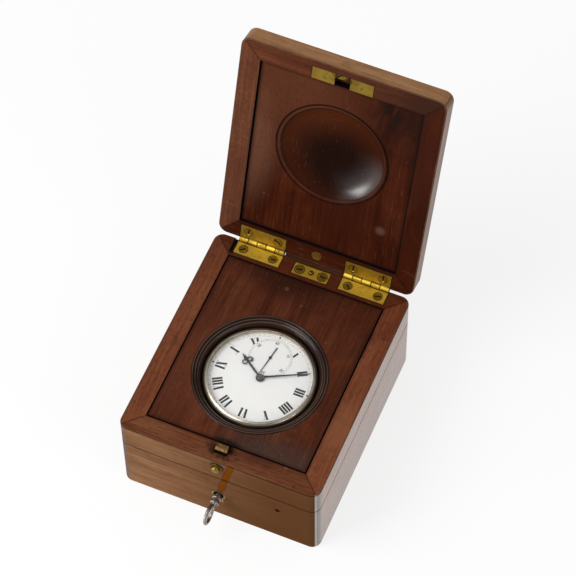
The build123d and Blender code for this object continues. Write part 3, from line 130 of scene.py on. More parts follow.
class WoodLooks(bpy.types.PropertyGroup):
    """Colours of the mahogany and the sizes of its figure."""

    rim_dark: colour_prop("Rim dark", "Dark grain of the frames", (0.066, 0.0180, 0.0080))
    rim_mid: colour_prop("Rim middle", "Main tone of the frames", (0.130, 0.0400, 0.0170))
    rim_light: colour_prop("Rim light", "Light grain of the frames", (0.195, 0.0700, 0.0300))
    panel_dark: colour_prop("Panel dark", "Dark grain of the panels", (0.026, 0.0055, 0.0026))
    panel_mid: colour_prop("Panel middle", "Main tone of the panels", (0.056, 0.0130, 0.0056))
    panel_light: colour_prop("Panel light", "Light grain of the panels", (0.092, 0.0250, 0.0110))
    faded_dark: colour_prop("Faded dark", "Dark grain of the faded sides", (0.120, 0.050, 0.0200))
    faded_mid: colour_prop("Faded middle", "Main tone of the faded sides", (0.185, 0.083, 0.0350))
    faded_light: colour_prop("Faded light", "Light grain of the faded sides", (0.255, 0.128, 0.060))
    inside_mid: colour_prop("Inside", "Unpolished wood inside", (0.210, 0.085, 0.0400))
    # Where this black fills the grooves round the panels and the dish, the rails' groove walls and
    # the spare hole, it is painted shade; in the mitres, joints and stains it is dark wax and dirt.
    groove: colour_prop("Groove", "Black wax in the grooves", (0.0060, 0.0040, 0.0035))
    wear: colour_prop("Wear", "Bare wood on rubbed edges", (0.330, 0.190, 0.1050))
    ebony: colour_prop("Ebonised", "Stain of the aperture ring", (0.0150, 0.0080, 0.0055))
    band_pitch: length_prop("Band pitch", "Width of the broad bands of the figure", 11 * MM)
    streak_pitch: length_prop("Streak pitch", "Width of the fine streaks", 1.5 * MM)
    pore_pitch: length_prop("Pore pitch", "Width of the open pores", 0.24 * MM)


class MetalLooks(bpy.types.PropertyGroup):
    """Colours of the brass, steel and silver."""

    brass: colour_prop("Brass", "Clean yellow brass", (0.620, 0.400, 0.0620))
    brass_dull: colour_prop("Dull brass", "Brass that is handled or left", (0.330, 0.215, 0.0750))
    tarnish: colour_prop("Tarnish", "Brown film on old brass", (0.150, 0.086, 0.0160))
    # In the screw slots this colour is painted shade as well as dirt.
    dirt: colour_prop("Dirt", "Dirt in slots and along edges", (0.0150, 0.0100, 0.0060))
    steel: colour_prop("Steel", "Worn grey steel of the key", (0.360, 0.345, 0.3200))
    rust: colour_prop("Rust", "Brown freckles on the key", (0.110, 0.055, 0.0250))
    silver: colour_prop("Silver", "Case and bezel of the watch", (0.700, 0.670, 0.6200))
    gilt: colour_prop("Gilt", "Gilt plates and wheels", (0.700, 0.500, 0.1900))
    blued: colour_prop("Blued steel", "Hands of the watch", (0.060, 0.075, 0.1050))


class DialLooks(bpy.types.PropertyGroup):
    """Sizes and colours of the printing on the enamel dial."""

    enamel: colour_prop("Enamel", "White fired enamel", (0.940, 0.935, 0.9150))
    ink: colour_prop("Ink", "Black fired paint of the hours", (0.0120, 0.0120, 0.0140))
    soft_ink: colour_prop("Soft ink", "Grey paint of the seconds", (0.110, 0.110, 0.1200))
    numeral_foot: length_prop("Numeral foot", "Radius where the numerals start", 19.1 * MM)
    numeral_head: length_prop("Numeral head", "Radius where the numerals end", 24.5 * MM)
    thick_stroke: length_prop("Thick stroke", "Width of a thick stroke", 1.15 * MM)
    thin_stroke: length_prop("Thin stroke", "Width of a thin stroke", 0.13 * MM)
    track_inner: length_prop("Track inside", "Inner line of the minute track", 25.6 * MM)
    track_outer: length_prop("Track outside", "Outer line of the minute track", 26.7 * MM)
    seconds_inner: length_prop("Seconds inside", "Inner line of the seconds track", 10.6 * MM)
    seconds_outer: length_prop("Seconds outside", "Outer line of the seconds track", 11.4 * MM)
    figure_radius: length_prop("Figure radius", "Radius of the seconds figures", 9.3 * MM)
    paint: length_prop("Paint", "Height of the fired paint", 0.03 * MM)


class StageLooks(bpy.types.PropertyGroup):
    """Floor, lamps and camera."""

    floor: colour_prop("Floor", "Pale floor", (0.940, 0.940, 0.9400))
    sky: FloatProperty(name="Sky", description="Strength of the soft light all round", default=0.42)
    key_power: FloatProperty(name="Key lamp", description="Power of the main lamp", default=14.0)
    fill_power: FloatProperty(name="Fill lamp", description="Power of the right lamp", default=4.0)
    low_power: FloatProperty(name="Low lamp", description="Power of the low left lamp", default=8.0)
    floor_glow: FloatProperty(name="Floor glow", description="Share of plain white", default=0.80)


class Wire:
    """A socket of a material. Sums on it add Math nodes."""

    def __init__(self, bench, socket):
        self.bench = bench
        self.socket = socket

    def maths(self, operation, *values):
        """The result of a Math node on these values."""
        return self.bench.node("ShaderNodeMath", {"operation": operation}, dict(enumerate(values)))

    def __add__(self, other):
        return self.maths("ADD", self, other)

    __radd__ = __add__

    def __sub__(self, other):
        return self.maths("SUBTRACT", self, other)

    def __rsub__(self, other):
        return self.maths("SUBTRACT", other, self)

    def __mul__(self, other):
        return self.maths("MULTIPLY", self, other)

    __rmul__ = __mul__

    def __abs__(self):
        return self.maths("ABSOLUTE", self)

    def root(self):
        """The square root."""
        return self.maths("SQRT", self)

    def largest(self, other):
        """The larger of two values."""
        return self.maths("MAXIMUM", self, other)

    def smallest(self, other):
        """The smaller of two values."""
        return self.maths("MINIMUM", self, other)

    def rises(self, low, high):
        """0 below low and 1 above high, with a smooth step between."""
        return self.bench.node("ShaderNodeMapRange", {"interpolation_type": "SMOOTHSTEP"},
                               {"Value": self, "From Min": low, "From Max": high})

    def falls(self, low, high):
        """1 below low and 0 above high."""
        return 1 - self.rises(low, high)

    def spans(self, low, high):
        """The value stretched from 0..1 to low..high."""
        return self * (high - low) + low


class Bench:
    """The node bench of one material, with its shader ready."""

    def __init__(self, name):
        self.material = bpy.data.materials.new(name)
        self.material.use_nodes = True
        self.tree = self.material.node_tree
        self.shader = next(n for n in self.tree.nodes if n.type == "BSDF_PRINCIPLED")

    def node(self, kind, settings=None, sockets=None, out=0):
        """Adds a node, sets its settings and then its sockets, and gives one of its outputs."""
        made = self.tree.nodes.new(kind)
        for key, value in (settings or {}).items():
            if key == "stops":
                ramp = made.color_ramp
                ramp.elements.remove(ramp.elements[1])
                for index, (place, tone) in enumerate(value):
                    stop = ramp.elements[0] if index == 0 else ramp.elements.new(place)
                    stop.position = place
                    stop.color = (*tone, 1)
            else:
                setattr(made, key, value)
        for key, value in (sockets or {}).items():
            if isinstance(value, Wire):
                self.tree.links.new(value.socket, made.inputs[key])
            else:
                made.inputs[key].default_value = value
        return Wire(self, made.outputs[out])

    def place(self, on_lid=False):
        """Object coordinates, turned back to the closed lid for what rides on the lid."""
        spot = self.node("ShaderNodeTexCoord", out="Object")
        if not on_lid:
            return spot
        shut = Matrix.Rotation(lid_swing, 3, "X")
        return self.node("ShaderNodeMapping", {"vector_type": "POINT"},
                         {"Vector": spot, "Location": lid_pin - shut @ lid_pin,
                          "Rotation": (lid_swing, 0, 0)})

    def split(self, spot):
        """The three coordinates of a place."""
        return [self.node("ShaderNodeSeparateXYZ", None, {0: spot}, out=axis) for axis in "XYZ"]

    def point(self, x, y, z=0):
        """A place from its coordinates."""
        return self.node("ShaderNodeCombineXYZ", None, {0: x, 1: y, 2: z})

    def noise(self, spot, scale, detail=2.0, rough=0.5, bend=0.0, shift=(0, 0, 0), turn=(0, 0, 0)):
        """Noise whose scale has its own value along each axis, in turns per metre."""
        stretched = self.node("ShaderNodeMapping", {"vector_type": "POINT"},
                              {"Vector": spot, "Scale": scale, "Location": shift, "Rotation": turn})
        return self.node("ShaderNodeTexNoise", None,
                         {"Vector": stretched, "Scale": 1.0, "Detail": detail, "Roughness": rough,
                          "Distortion": bend})

    def mix(self, share, first, second, blend="MIX"):
        """A mix of two colours."""
        tones = [tone if isinstance(tone, Wire) else (*tone, 1) for tone in (first, second)]
        return self.node("ShaderNodeMix", {"data_type": "RGBA", "blend_type": blend},
                         {0: share, 6: tones[0], 7: tones[1]}, out=2)

    def ramp(self, value, *stops):
        """A colour ramp."""
        return self.node("ShaderNodeValToRGB", {"stops": stops}, {0: value})

    def bump(self, height, distance, strength=1.0):
        """A normal bent by a height."""
        return self.node("ShaderNodeBump", None,
                         {"Height": height, "Distance": distance, "Strength": strength})

    def finish(self, **sockets):
        """Sets or links the shader's sockets, named with underscores for spaces."""
        for key, value in sockets.items():
            socket = self.shader.inputs[key.replace("_", " ")]
            if isinstance(value, Wire):
                self.tree.links.new(value.socket, socket)
            elif socket.type == "RGBA":
                socket.default_value = (*value, 1)
            else:
                socket.default_value = value
        return self.material


def dress(material, *names):
    """Gives CAD nodes a material."""
    for name in names:
        for slot in frame["nodes"][name].material_slots:
            slot.material = material


def grain_scale(pitch, along, grain):
    """Noise scale that is fine across the grain and long along it."""
    across = 1 / pitch
    return (along, across, across) if grain == "X" else (across, along, across)


def wood_figure(bench, looks, spot, grain, seed):
    """Bands, streaks and pores of mahogany at a place."""
    shift = (seed * 3.1, seed * 1.7, seed * 2.3)
    bands = bench.noise(spot, grain_scale(looks.band_pitch, 9, grain), 3.0, 0.55, 0.5, shift)
    streaks = bench.noise(spot, grain_scale(looks.streak_pitch, 30, grain), 4.0, 0.6, 0.3, shift)
    pores = bench.noise(spot, grain_scale(looks.pore_pitch, 300, grain), 1.0, 0.5, 0.0, shift)
    clouds = bench.noise(spot, (24, 24, 24), 2.0, 0.5, 0.0, shift)
    return bands * 0.40 + streaks * 0.38 + clouds * 0.22, pores.rises(0.56, 0.66), clouds


def mottled(bench, looks, wood, spot, strength):
    """Warm red and dark patches that old polish has."""
    warm = bench.noise(spot, (75, 50, 75), 4.0, 0.65, 0.4, (3, 1, 2)).rises(0.50, 0.72)
    dark = bench.noise(spot, (55, 70, 55), 4.0, 0.68, 0.4, (7, 5, 1)).rises(0.53, 0.74)
    wood = bench.mix(warm * strength, wood, tinted(looks.rim_light, (0.86, 0.58, 0.36)))
    return bench.mix(dark * strength * 1.3, wood, looks.panel_dark)


def scratches(bench, spot, scale, bend, seed, turn):
    """Thin scratches, all in one direction."""
    return bench.noise(spot, scale, 1.0, 0.5, bend, (0, seed, 0), turn).rises(0.66, 0.74)


def grain_bump(bench, tone, pores, strength):
    """Raised grain with sunken pores."""
    return bench.bump(tone * 0.5 - pores * 0.8, 0.03 * MM, strength)


def tinted(tone, tint):
    """A tone with each of its parts made stronger or weaker."""
    return tuple(part * share for part, share in zip(tone, tint))


def three_tones(bench, tone, tones, tint=(1, 1, 1)):
    """Dark, middle and light wood by the figure's tone."""
    places = (0.34, 0.50, 0.66)
    return bench.ramp(tone, *((place, tinted(part, tint)) for place, part in zip(places, tones)))


def blot(bench, spot, centre, reach, ragged=0.0, clouds=None, fine=None):
    """A soft oval patch: 1 at its middle and 0 past its reach; fine adds a torn edge."""
    shrunk = bench.node("ShaderNodeMapping", {"vector_type": "POINT"},
                        {"Vector": spot, "Scale": tuple(1 / part for part in reach),
                         "Location": tuple(-place / part for place, part in zip(centre, reach))})
    away = bench.node("ShaderNodeVectorMath", {"operation": "LENGTH"}, {0: shrunk}, out="Value")
    if clouds:
        away = away + (clouds - 0.5) * ragged
    if fine:
        away = away + (bench.noise(spot, (fine, fine, fine), 4.0, 0.65) - 0.5) * 1.6
    return away.falls(0.25, 1.0)


def rim_distance(x, y):
    """How far a place is past the box's rounded outline, seen from above."""
    past_x = abs(x) - (half_width - corner_radius)
    past_y = abs(y) - (half_depth - corner_radius)
    in_x = past_x.largest(0)
    in_y = past_y.largest(0)
    round_part = in_x * in_x + in_y * in_y
    return round_part.root() + past_x.largest(past_y).smallest(0) - corner_radius


def rim_inside(x, y):
    """How far a place is past the inner edge of the rims, seen from above."""
    return (abs(x) - (half_width - rim_width)).largest(abs(y) - (half_depth - rim_width))


def radius_from(x, y, centre_x, centre_y):
    """Distance in plan from an upright axis."""
    across = x - centre_x
    along = y - centre_y
    return (across * across + along * along).root()


class Patch:
    """A soft oval patch of stain or wear: its middle and reach in millimetres, share and tone."""

    def __init__(self, middle, reach, share, tone, ragged=0.0, fine=None):
        self.middle = middle
        self.reach = tuple(part * MM for part in reach)
        self.share = share
        self.tone = tone
        self.ragged = ragged
        self.fine = fine


def patched(bench, looks, wood, spot, height, clouds, patches, mask=None):
    """Wood with patches painted on it at a height; a tone is a colour or a wood colour's name."""
    for patch in patches:
        middle = (patch.middle[0] * MM, patch.middle[1] * MM, height)
        soft = blot(bench, spot, middle, patch.reach, patch.ragged, clouds, patch.fine)
        tone = getattr(looks, patch.tone) if isinstance(patch.tone, str) else patch.tone
        wood = bench.mix((soft * mask if mask else soft) * patch.share, wood, tone)
    return wood


def outline(x, y, centre, half, width):
    """The edge just outside a flat rectangle, dark to the given width."""
    past = (abs(x - centre[0]) - half[0]).largest(abs(y - centre[1]) - half[1])
    return past.falls(0.1 * MM, width)


class RailLook:
    """How one rail or wall differs: tints of rim and face, coats of face and rim, and sheen."""

    def __init__(self, rim=(1, 1, 1), face=(1, 1, 1), gloss=0.03, polish=0.12, sheen=0.05):
        self.rim = rim
        self.face = face
        self.gloss = gloss
        self.polish = polish
        self.sheen = sheen


def rail_wood(name, looks, grain, low, top, on_lid, seed, look, marks=None):
    """Polished mahogany of one rail: dark on the rim, faded on its outer face."""
    bench = Bench(name)
    spot = bench.place(on_lid)
    x, y, z = bench.split(spot)
    tone, pores, clouds = wood_figure(bench, looks, spot, grain, seed)
    out = rim_distance(x, y)
    inside = rim_inside(x, y)
    side = out.rises(-0.9 * MM, -0.1 * MM)
    rim_tones = (looks.rim_dark, looks.rim_mid, looks.rim_light)
    rim = three_tones(bench, tone, rim_tones, look.rim)
    if on_lid:
        rim = bench.mix(z.rises(top - 2 * MM, top - 1 * MM), rim,
                        three_tones(bench, tone, rim_tones, (0.72, 0.62, 0.56)))
    face_tones = (looks.faded_dark, looks.faded_mid, looks.faded_light)
    face = three_tones(bench, tone, face_tones, look.face)
    wood = bench.mix(side * 0.94, mottled(bench, looks, rim, spot, 0.30 * look.rim[0]), face)
    blotch = bench.noise(spot, (60, 60, 160), 4.0, 0.65, 0.6, (seed, 2, 2)).rises(0.5, 0.72)
    wood = bench.mix(blotch * side * 0.35, wood, tinted(looks.faded_dark, (0.72, 0.66, 0.60)))
    wood = bench.mix(pores * (0.50 - side * 0.25), wood, looks.panel_dark)
    arris = abs(z - low).smallest(abs(z - top))
    edge = arris.falls(0.25 * MM, 1.0 * MM) * side
    rubbed = edge * bench.noise(spot, (110, 110, 110), 4.0, 0.6, 0, (seed, 0, 0)).rises(0.47, 0.66)
    wood = bench.mix(rubbed * 0.50, wood, looks.wear)
    scratch = scratches(bench, spot, (90, 2600, 2600), 0.4, seed, (0.2, 0.3, 0.9))
    scratch = scratch * clouds.rises(0.45, 0.6)
    wood = bench.mix(scratch * 0.22, wood, looks.wear)
    if marks:
        wood = marks(bench, looks, wood, spot, (x, y, z), side, clouds)
    off_mitre = abs(abs(y) - abs(x) - (half_depth - half_width))
    mitre = off_mitre.falls(0.05 * MM, 0.34 * MM) * 0.85
    near_mitre = off_mitre.falls(0.2 * MM, 1.6 * MM) * 0.22
    # Painted shade on the rail's walls down in the groove round the panel.
    inner_side = abs(z - (low if on_lid else top)).rises(0.3 * MM, 0.6 * MM)
    painted_groove_shade = inside.falls(0.02 * MM, 0.1 * MM) * inner_side
    # Darker in patches along the rim's inner edge by the groove.
    groove_edge_dark = inside.falls(0.1 * MM, 1.3 * MM) * clouds.rises(0.35, 0.6) * 0.45
    seam = arris.falls(0.15 * MM, 0.55 * MM) * side * 0.75
    dark = mitre.largest(painted_groove_shade).largest(near_mitre).largest(groove_edge_dark).largest(seam)
    wood = bench.mix(dark, wood, looks.groove)
    rough = bench.noise(spot, (60, 60, 60), 3.0).spans(0.30, 0.48) + rubbed * 0.2
    coat = side * (look.gloss - look.polish) + look.polish
    return bench.finish(Base_Color=wood, Roughness=rough, Coat_Weight=coat - rubbed * 0.03,
                        Coat_Roughness=0.08, Coat_IOR=1.5, IOR=1.45, Specular_IOR_Level=look.sheen,
                        Normal=grain_bump(bench, tone, pores, 0.7))


def painted_corner_highlight(bench, wood, place, side):
    """Painted highlight on the upright corner at the front right: a white stripe, with a painted
    grey reflection beside it.
    """
    x, y, _ = place
    round_x = x - (half_width - corner_radius)
    round_y = -1 * y - (half_depth - corner_radius)
    corner = round_x.smallest(round_y).rises(0.1 * MM, 0.6 * MM) * side
    # White stripe: painted highlight; the grey band beside it: painted reflection.
    highlight_stripe = abs(round_x - round_y + 0.1 * MM).falls(0.35 * MM, 1.15 * MM) * corner
    greyed = (round_x - round_y).rises(0, 2.0 * MM) * corner
    wood = bench.mix(greyed * 0.70, wood, (0.17, 0.17, 0.18))
    return bench.mix(highlight_stripe * 0.95, wood, (0.60, 0.60, 0.58))


def painted_corner_shade(bench, wood, place, side):
    """Painted shade, grey, on the upright corner at the front left."""
    x, y, _ = place
    round_x = -1 * x - (half_width - corner_radius)
    round_y = -1 * y - (half_depth - corner_radius)
    # Grey painted shade on the rounded corner.
    corner = round_x.smallest(round_y).rises(-0.3 * MM, 1.6 * MM) * side
    return bench.mix(corner * 0.7, wood, (0.120, 0.095, 0.080))


FRONT_STAINS = (
    Patch((14, -57), (40, 22, 9), 0.06, (0.030, 0.0120, 0.0080), ragged=0.5),
    Patch((20, -55), (15, 4.5, 9), 0.32, (0.022, 0.0080, 0.0050), fine=220),
    Patch((0, -56.2), (11, 5.8, 9), 0.92, "groove", fine=260),
    Patch((33.4, -53.2), (1.5, 0.7, 2), 0.8, (0.230, 0.075, 0.035)),
)


def orange_trail(bench, wood, spot, place, side):
    """The trail of worn polish that runs down the front from the button to the key."""
    x, _, z = place
    trail = abs(x - 1.7 * MM - (z - 28 * MM) * 0.215)
    ragged = bench.noise(spot, (260, 260, 90), 4.0, 0.65)
    trail = (trail + (ragged - 0.5) * 2.4 * MM).falls(0.9 * MM, 2.6 * MM) * side
    trail = trail * z.rises(23 * MM, 27 * MM)
    wood = bench.mix(trail.rises(0.05, 0.5) * 0.75, wood, (0.085, 0.024, 0.0040))
    wood = bench.mix(trail.rises(0.45, 1.0) * 0.90, wood, (0.145, 0.041, 0.0025))
    seam = abs(z - base_top).falls(0.3 * MM, 2.5 * MM)
    return bench.mix(trail * seam * 0.5, wood, (0.070, 0.018, 0.004))


def front_marks(bench, looks, wood, spot, place, side, clouds):
    """Front of the tray and the base: stain by the catch, orange trail, painted shade round the
    spare hole, and light and dark ends: painted shade growing towards the right, a painted
    highlight on the right corner and painted shade on the left corner.
    """
    x, _, z = place
    # Painted shade: the front darkens towards its right end.
    painted_shade_to_right = side * x.rises(-38 * MM, 34 * MM) * 0.90
    wood = bench.mix(painted_shade_to_right, wood, tinted(looks.faded_dark, (0.72, 0.65, 0.50)))
    wood = patched(bench, looks, wood, spot, tray_top, clouds, FRONT_STAINS, 1 - side)
    button_z = (button_low.z + button_high.z) / 2
    socket = radius_from(x, z, 0, button_z).falls(2.6 * MM, 4.6 * MM)
    wood = bench.mix(socket * side * 0.85, wood, (0.020, 0.0110, 0.0060))
    # Painted shade of the spare hole, wider than the hole itself.
    spare_hole_shade = radius_from(x, z, spare_hole_x, spare_hole_z).falls(1.0 * MM, 1.7 * MM)
    wood = bench.mix(spare_hole_shade * side, wood, looks.groove)
    wood = orange_trail(bench, wood, spot, place, side)
    wood = painted_corner_highlight(bench, wood, place, side)
    return painted_corner_shade(bench, wood, place, side)


RIGHT_GLOW = (Patch((50, -22), (9, 26, 9), 0.55, (0.235, 0.085, 0.036), ragged=0.8),)


def right_marks(bench, looks, wood, spot, place, side, clouds):
    """Right side of the tray and the base: the painted highlight on its corner and a redder light
    patch.
    """
    wood = patched(bench, looks, wood, spot, tray_top, clouds, RIGHT_GLOW, 1 - side)
    return painted_corner_highlight(bench, wood, place, side)


def left_marks(bench, looks, wood, spot, place, side, clouds):
    """Left side of the tray and the base: painted shade on its corner."""
    return painted_corner_shade(bench, wood, place, side)


def tray_back_marks(bench, looks, wood, spot, place, side, clouds):
    """Back of the tray: dark lines round the hinge leaves and the lifter plate."""
    x, y, z = place
    bed = outline(abs(x), y, (leaf_spread, lid_pin.y), leaf_half, 0.9 * MM)
    plate = outline(x, y, lifter_middle, lifter_half, 0.7 * MM)
    upper = z.rises(tray_top - 2.5 * MM, tray_top - 1.5 * MM) * (1 - side)
    wood = bench.mix(bed.largest(plate) * 0.85 * upper, wood, looks.groove)
    corner = outline(x, y, (-43.4 * MM, 60 * MM), (1.0 * MM, 6.0 * MM), 0.9 * MM)
    return bench.mix(corner * upper * 0.9, wood, looks.groove)


def lid_under(z, side):
    """1 on the face of a lid rail that meets the tray."""
    return z.falls(lid_low + 1.5 * MM, lid_low + 2.5 * MM) * (1 - side)


def lid_back_marks(bench, looks, wood, spot, place, side, clouds):
    """Back of the lid: dark lines round the hinge leaves and the bearing disc."""
    x, y, z = place
    bed = outline(abs(x), y, (leaf_spread, lid_pin.y), leaf_half, 0.8 * MM)
    disc = blot(bench, spot, (*lifter_middle, lid_low), (3.9 * MM, 3.9 * MM, 3 * MM))
    return bench.mix(bed.largest(disc) * 0.8 * lid_under(z, side), wood, looks.groove)


def lid_front_marks(bench, looks, wood, spot, place, side, clouds):
    """Front of the lid: dark line round the strike, a dark right end and a pale outer face."""
    x, y, z = place
    bed = outline(x, y, strike_middle, strike_half, 0.6 * MM)
    under = lid_under(z, side)
    wood = bench.mix(x.rises(0, 44 * MM) * 0.84 * under, wood, (0.026, 0.0080, 0.0040))
    wood = bench.mix(bed * 0.75 * under, wood, looks.groove)
    return bench.mix(side * x.rises(-20 * MM, 50 * MM) * 0.25, wood, looks.faded_light)


LID_HAZE = (Patch((-44, 2), (20, 46, 1000), 0.50, (0.150, 0.062, 0.034), ragged=0.6),)
LID_CORNER = (Patch((46, -36), (26, 30, 1000), 0.50, (0.020, 0.0065, 0.0035), ragged=0.6),)
TRAY_STAINS = (
    Patch((-30, -14), (34, 48, 9), 0.45, (0.145, 0.0420, 0.0190), ragged=0.9),
    Patch((24, -48), (38, 15, 9), 0.75, (0.054, 0.0310, 0.0230), ragged=0.8),
    Patch((-12, 54), (50, 22, 9), 0.85, (0.026, 0.0075, 0.0042), ragged=0.9),
    Patch((0, -51.4), (10, 3.4, 9), 0.85, "groove", ragged=0.9),
)
# Pale spots at dents in the panels: the dents are real, their paleness is painted highlight.
LID_DENT_HIGHLIGHTS = ((31.6, 28.9, 1.5), (-33.0, 30.0, 0.3))
TRAY_DENT_HIGHLIGHTS = ((-7.3, 44.5, 0.7), (3.5, 37.7, 0.4), (24.0, 22.0, 0.3))


def dish_wood(bench, looks, wood, flat, reach, clouds):
    """The turned dish: painted shade in its middle, a painted highlight along its lip, and painted
    shade in the line round it.
    """
    deep = reach.falls(dish_radius - 2.5 * MM, dish_radius - 0.4 * MM)
    middle = (3 * MM, dial_centre.y + 7 * MM, 0)
    # Painted shade in the middle of the dish.
    dish_shade = blot(bench, flat, middle, (37 * MM, 33 * MM, 1), 0.3, clouds)
    wood = bench.mix(deep * 0.60, wood, (0.054, 0.0110, 0.0026))
    wood = bench.mix(deep * dish_shade * 0.92, wood, (0.0050, 0.0018, 0.0010))
    # Painted highlight along the dish's lip.
    lip_highlight = abs(reach - dish_radius + 0.5 * MM).falls(0.1 * MM, 0.6 * MM)
    wood = bench.mix(lip_highlight * 0.30, wood, (0.090, 0.032, 0.014))
    # Painted shade in the groove round the dish.
    line = abs(reach - dish_radius - 1.0 * MM).falls(0.25 * MM, 0.75 * MM)
    wood = bench.mix(line * 0.85, wood, looks.groove)
    inner = abs(reach - dish_radius + 1.6 * MM).falls(0.2 * MM, 0.7 * MM)
    return bench.mix(inner * 0.55, wood, looks.groove), deep


def lid_panel_wood(bench, looks, tone, tones, spot, place, clouds):
    """Wood and coat of the lid's panel: knot figure at one corner, haze, and the dish."""
    x, y, z = place
    flat = bench.point(x, y)
    knot = (38 * MM, -32 * MM)
    bent = abs(x - knot[0]) * 0.9 + abs(y - knot[1]) * 0.25
    curls = bench.noise(bench.point(x + y * 0.7, bent), (75, 210, 1), 3.0, 0.6, 1.4)
    figured = blot(bench, flat, (*knot, 0), (24 * MM, 20 * MM, 1), 0.7, clouds)
    tone = tone - (curls - 0.42) * figured * 0.9
    outer = three_tones(bench, tone, tones, (0.70, 0.56, 0.42))
    outer = mottled(bench, looks, outer, spot, 0.10)
    faded = (y + (clouds - 0.5) * 50 * MM).falls(-48 * MM, 22 * MM) * x.falls(-20 * MM, 34 * MM)
    wood = bench.mix(faded * 0.60, outer, (0.108, 0.0350, 0.0150))
    wood = patched(bench, looks, wood, flat, 0, clouds, LID_HAZE)
    shade = blot(bench, flat, (31 * MM, -44 * MM, 0), (17 * MM, 11 * MM, 1), fine=90)
    wood = bench.mix(shade * curls.rises(0.36, 0.54) * 0.85, wood, looks.groove)
    glow = blot(bench, flat, (38.2 * MM, -29 * MM, 0), (7.5 * MM, 9.0 * MM, 1), 0.5, clouds)
    wood = bench.mix(glow.rises(0.0, 1.0) * 0.45, wood, (0.070, 0.0150, 0.0050))
    wood = patched(bench, looks, wood, flat, 0, clouds, LID_CORNER)
    reach = radius_from(x, y, 0, dial_centre.y)
    wood, deep = dish_wood(bench, looks, wood, flat, reach, clouds)
    under = z.falls(lid_low + 7 * MM, lid_low + 8 * MM)
    glossy = blot(bench, flat, (20 * MM, dial_centre.y + 12 * MM, 0), (24 * MM, 22 * MM, 1))
    coat = deep * reach.rises(9 * MM, 27 * MM) * glossy * under * 0.44 + 0.01
    return bench.mix(under, outer, wood), coat, tone


def panel_wood(name, looks, on_lid, seed):
    """Dark polished mahogany of a panel, with painted shade: black in the groove round it, and
    fading towards the middle.
    """
    bench = Bench(name)
    spot = bench.place(on_lid)
    x, y, z = bench.split(spot)
    tone, pores, clouds = wood_figure(bench, looks, spot, "Y", seed)
    tones = (looks.panel_dark, looks.panel_mid, looks.panel_light)
    if on_lid:
        face = lid_low + 1.3 * MM
        wood, coat, tone = lid_panel_wood(bench, looks, tone, tones, spot, (x, y, z), clouds)
        dent_highlights = LID_DENT_HIGHLIGHTS
    else:
        face = tray_top
        wood = three_tones(bench, tone, tones, (1.30, 1.42, 1.38))
        wood = mottled(bench, looks, wood, spot, 0.28)
        wood = patched(bench, looks, wood, spot, face, clouds, TRAY_STAINS)
        coat = 0.04
        dent_highlights = TRAY_DENT_HIGHLIGHTS
    wood = bench.mix(pores * 0.42, wood, looks.panel_dark)
    scratch = scratches(bench, spot, (2400, 80, 2400), 0.5, seed, (0.1, 0.2, 0.5))
    scratch = scratch * clouds.rises(0.42, 0.6)
    wood = bench.mix(scratch * 0.16, wood, looks.wear)
    fleck = bench.noise(spot, (900, 900, 900), 1.0, 0.5).rises(0.74, 0.78)
    wood = bench.mix(fleck * 0.18, wood, looks.wear)
    # Pale spots at dents: painted highlights.
    for bruise_x, bruise_y, size in dent_highlights:
        dent_highlight = blot(bench, spot, (bruise_x * MM, bruise_y * MM, face), (2.6 * size * MM,) * 3)
        wood = bench.mix(dent_highlight * 0.26, wood, (0.20, 0.12, 0.090))
    inside = rim_inside(x, y)
    # Painted shadow growing darker towards the groove, and painted shade down inside it.
    painted_groove_shadow = inside.rises(-3.2 * MM, -0.8 * MM)
    wood = bench.mix(painted_groove_shadow * 0.45, wood, looks.groove)
    wood = bench.mix(inside.rises(-0.95 * MM, -0.78 * MM), wood, looks.groove)
    rough = bench.noise(spot, (45, 45, 45), 3.0).spans(0.30, 0.46) + scratch * 0.15
    return bench.finish(Base_Color=wood, Roughness=rough, Coat_Weight=coat, Coat_Roughness=0.26,
                        Coat_IOR=2.0, IOR=1.45, Specular_IOR_Level=0.02,
                        Normal=grain_bump(bench, tone, pores, 0.6))


def plain_wood(name, looks, seed):
    """Unpolished mahogany of the nest and the bottom board."""
    bench = Bench(name)
    spot = bench.place()
    tone, pores, clouds = wood_figure(bench, looks, spot, "Y", seed)
    wood = three_tones(bench, tone, (looks.faded_dark, looks.inside_mid, looks.faded_light))
    wood = bench.mix(pores * 0.6, wood, looks.rim_dark)
    rough = clouds.spans(0.55, 0.8)
    return bench.finish(Base_Color=wood, Roughness=rough, IOR=1.45,
                        Normal=bench.bump(tone - pores, 0.05 * MM, 0.9))


# Lighter brown patch on the lower right of the ring's cove: painted light.
RING_COVE_LIGHT = (Patch((24, -24), (30, 30, 12), 0.60, (0.085, 0.036, 0.018), ragged=0.5),)


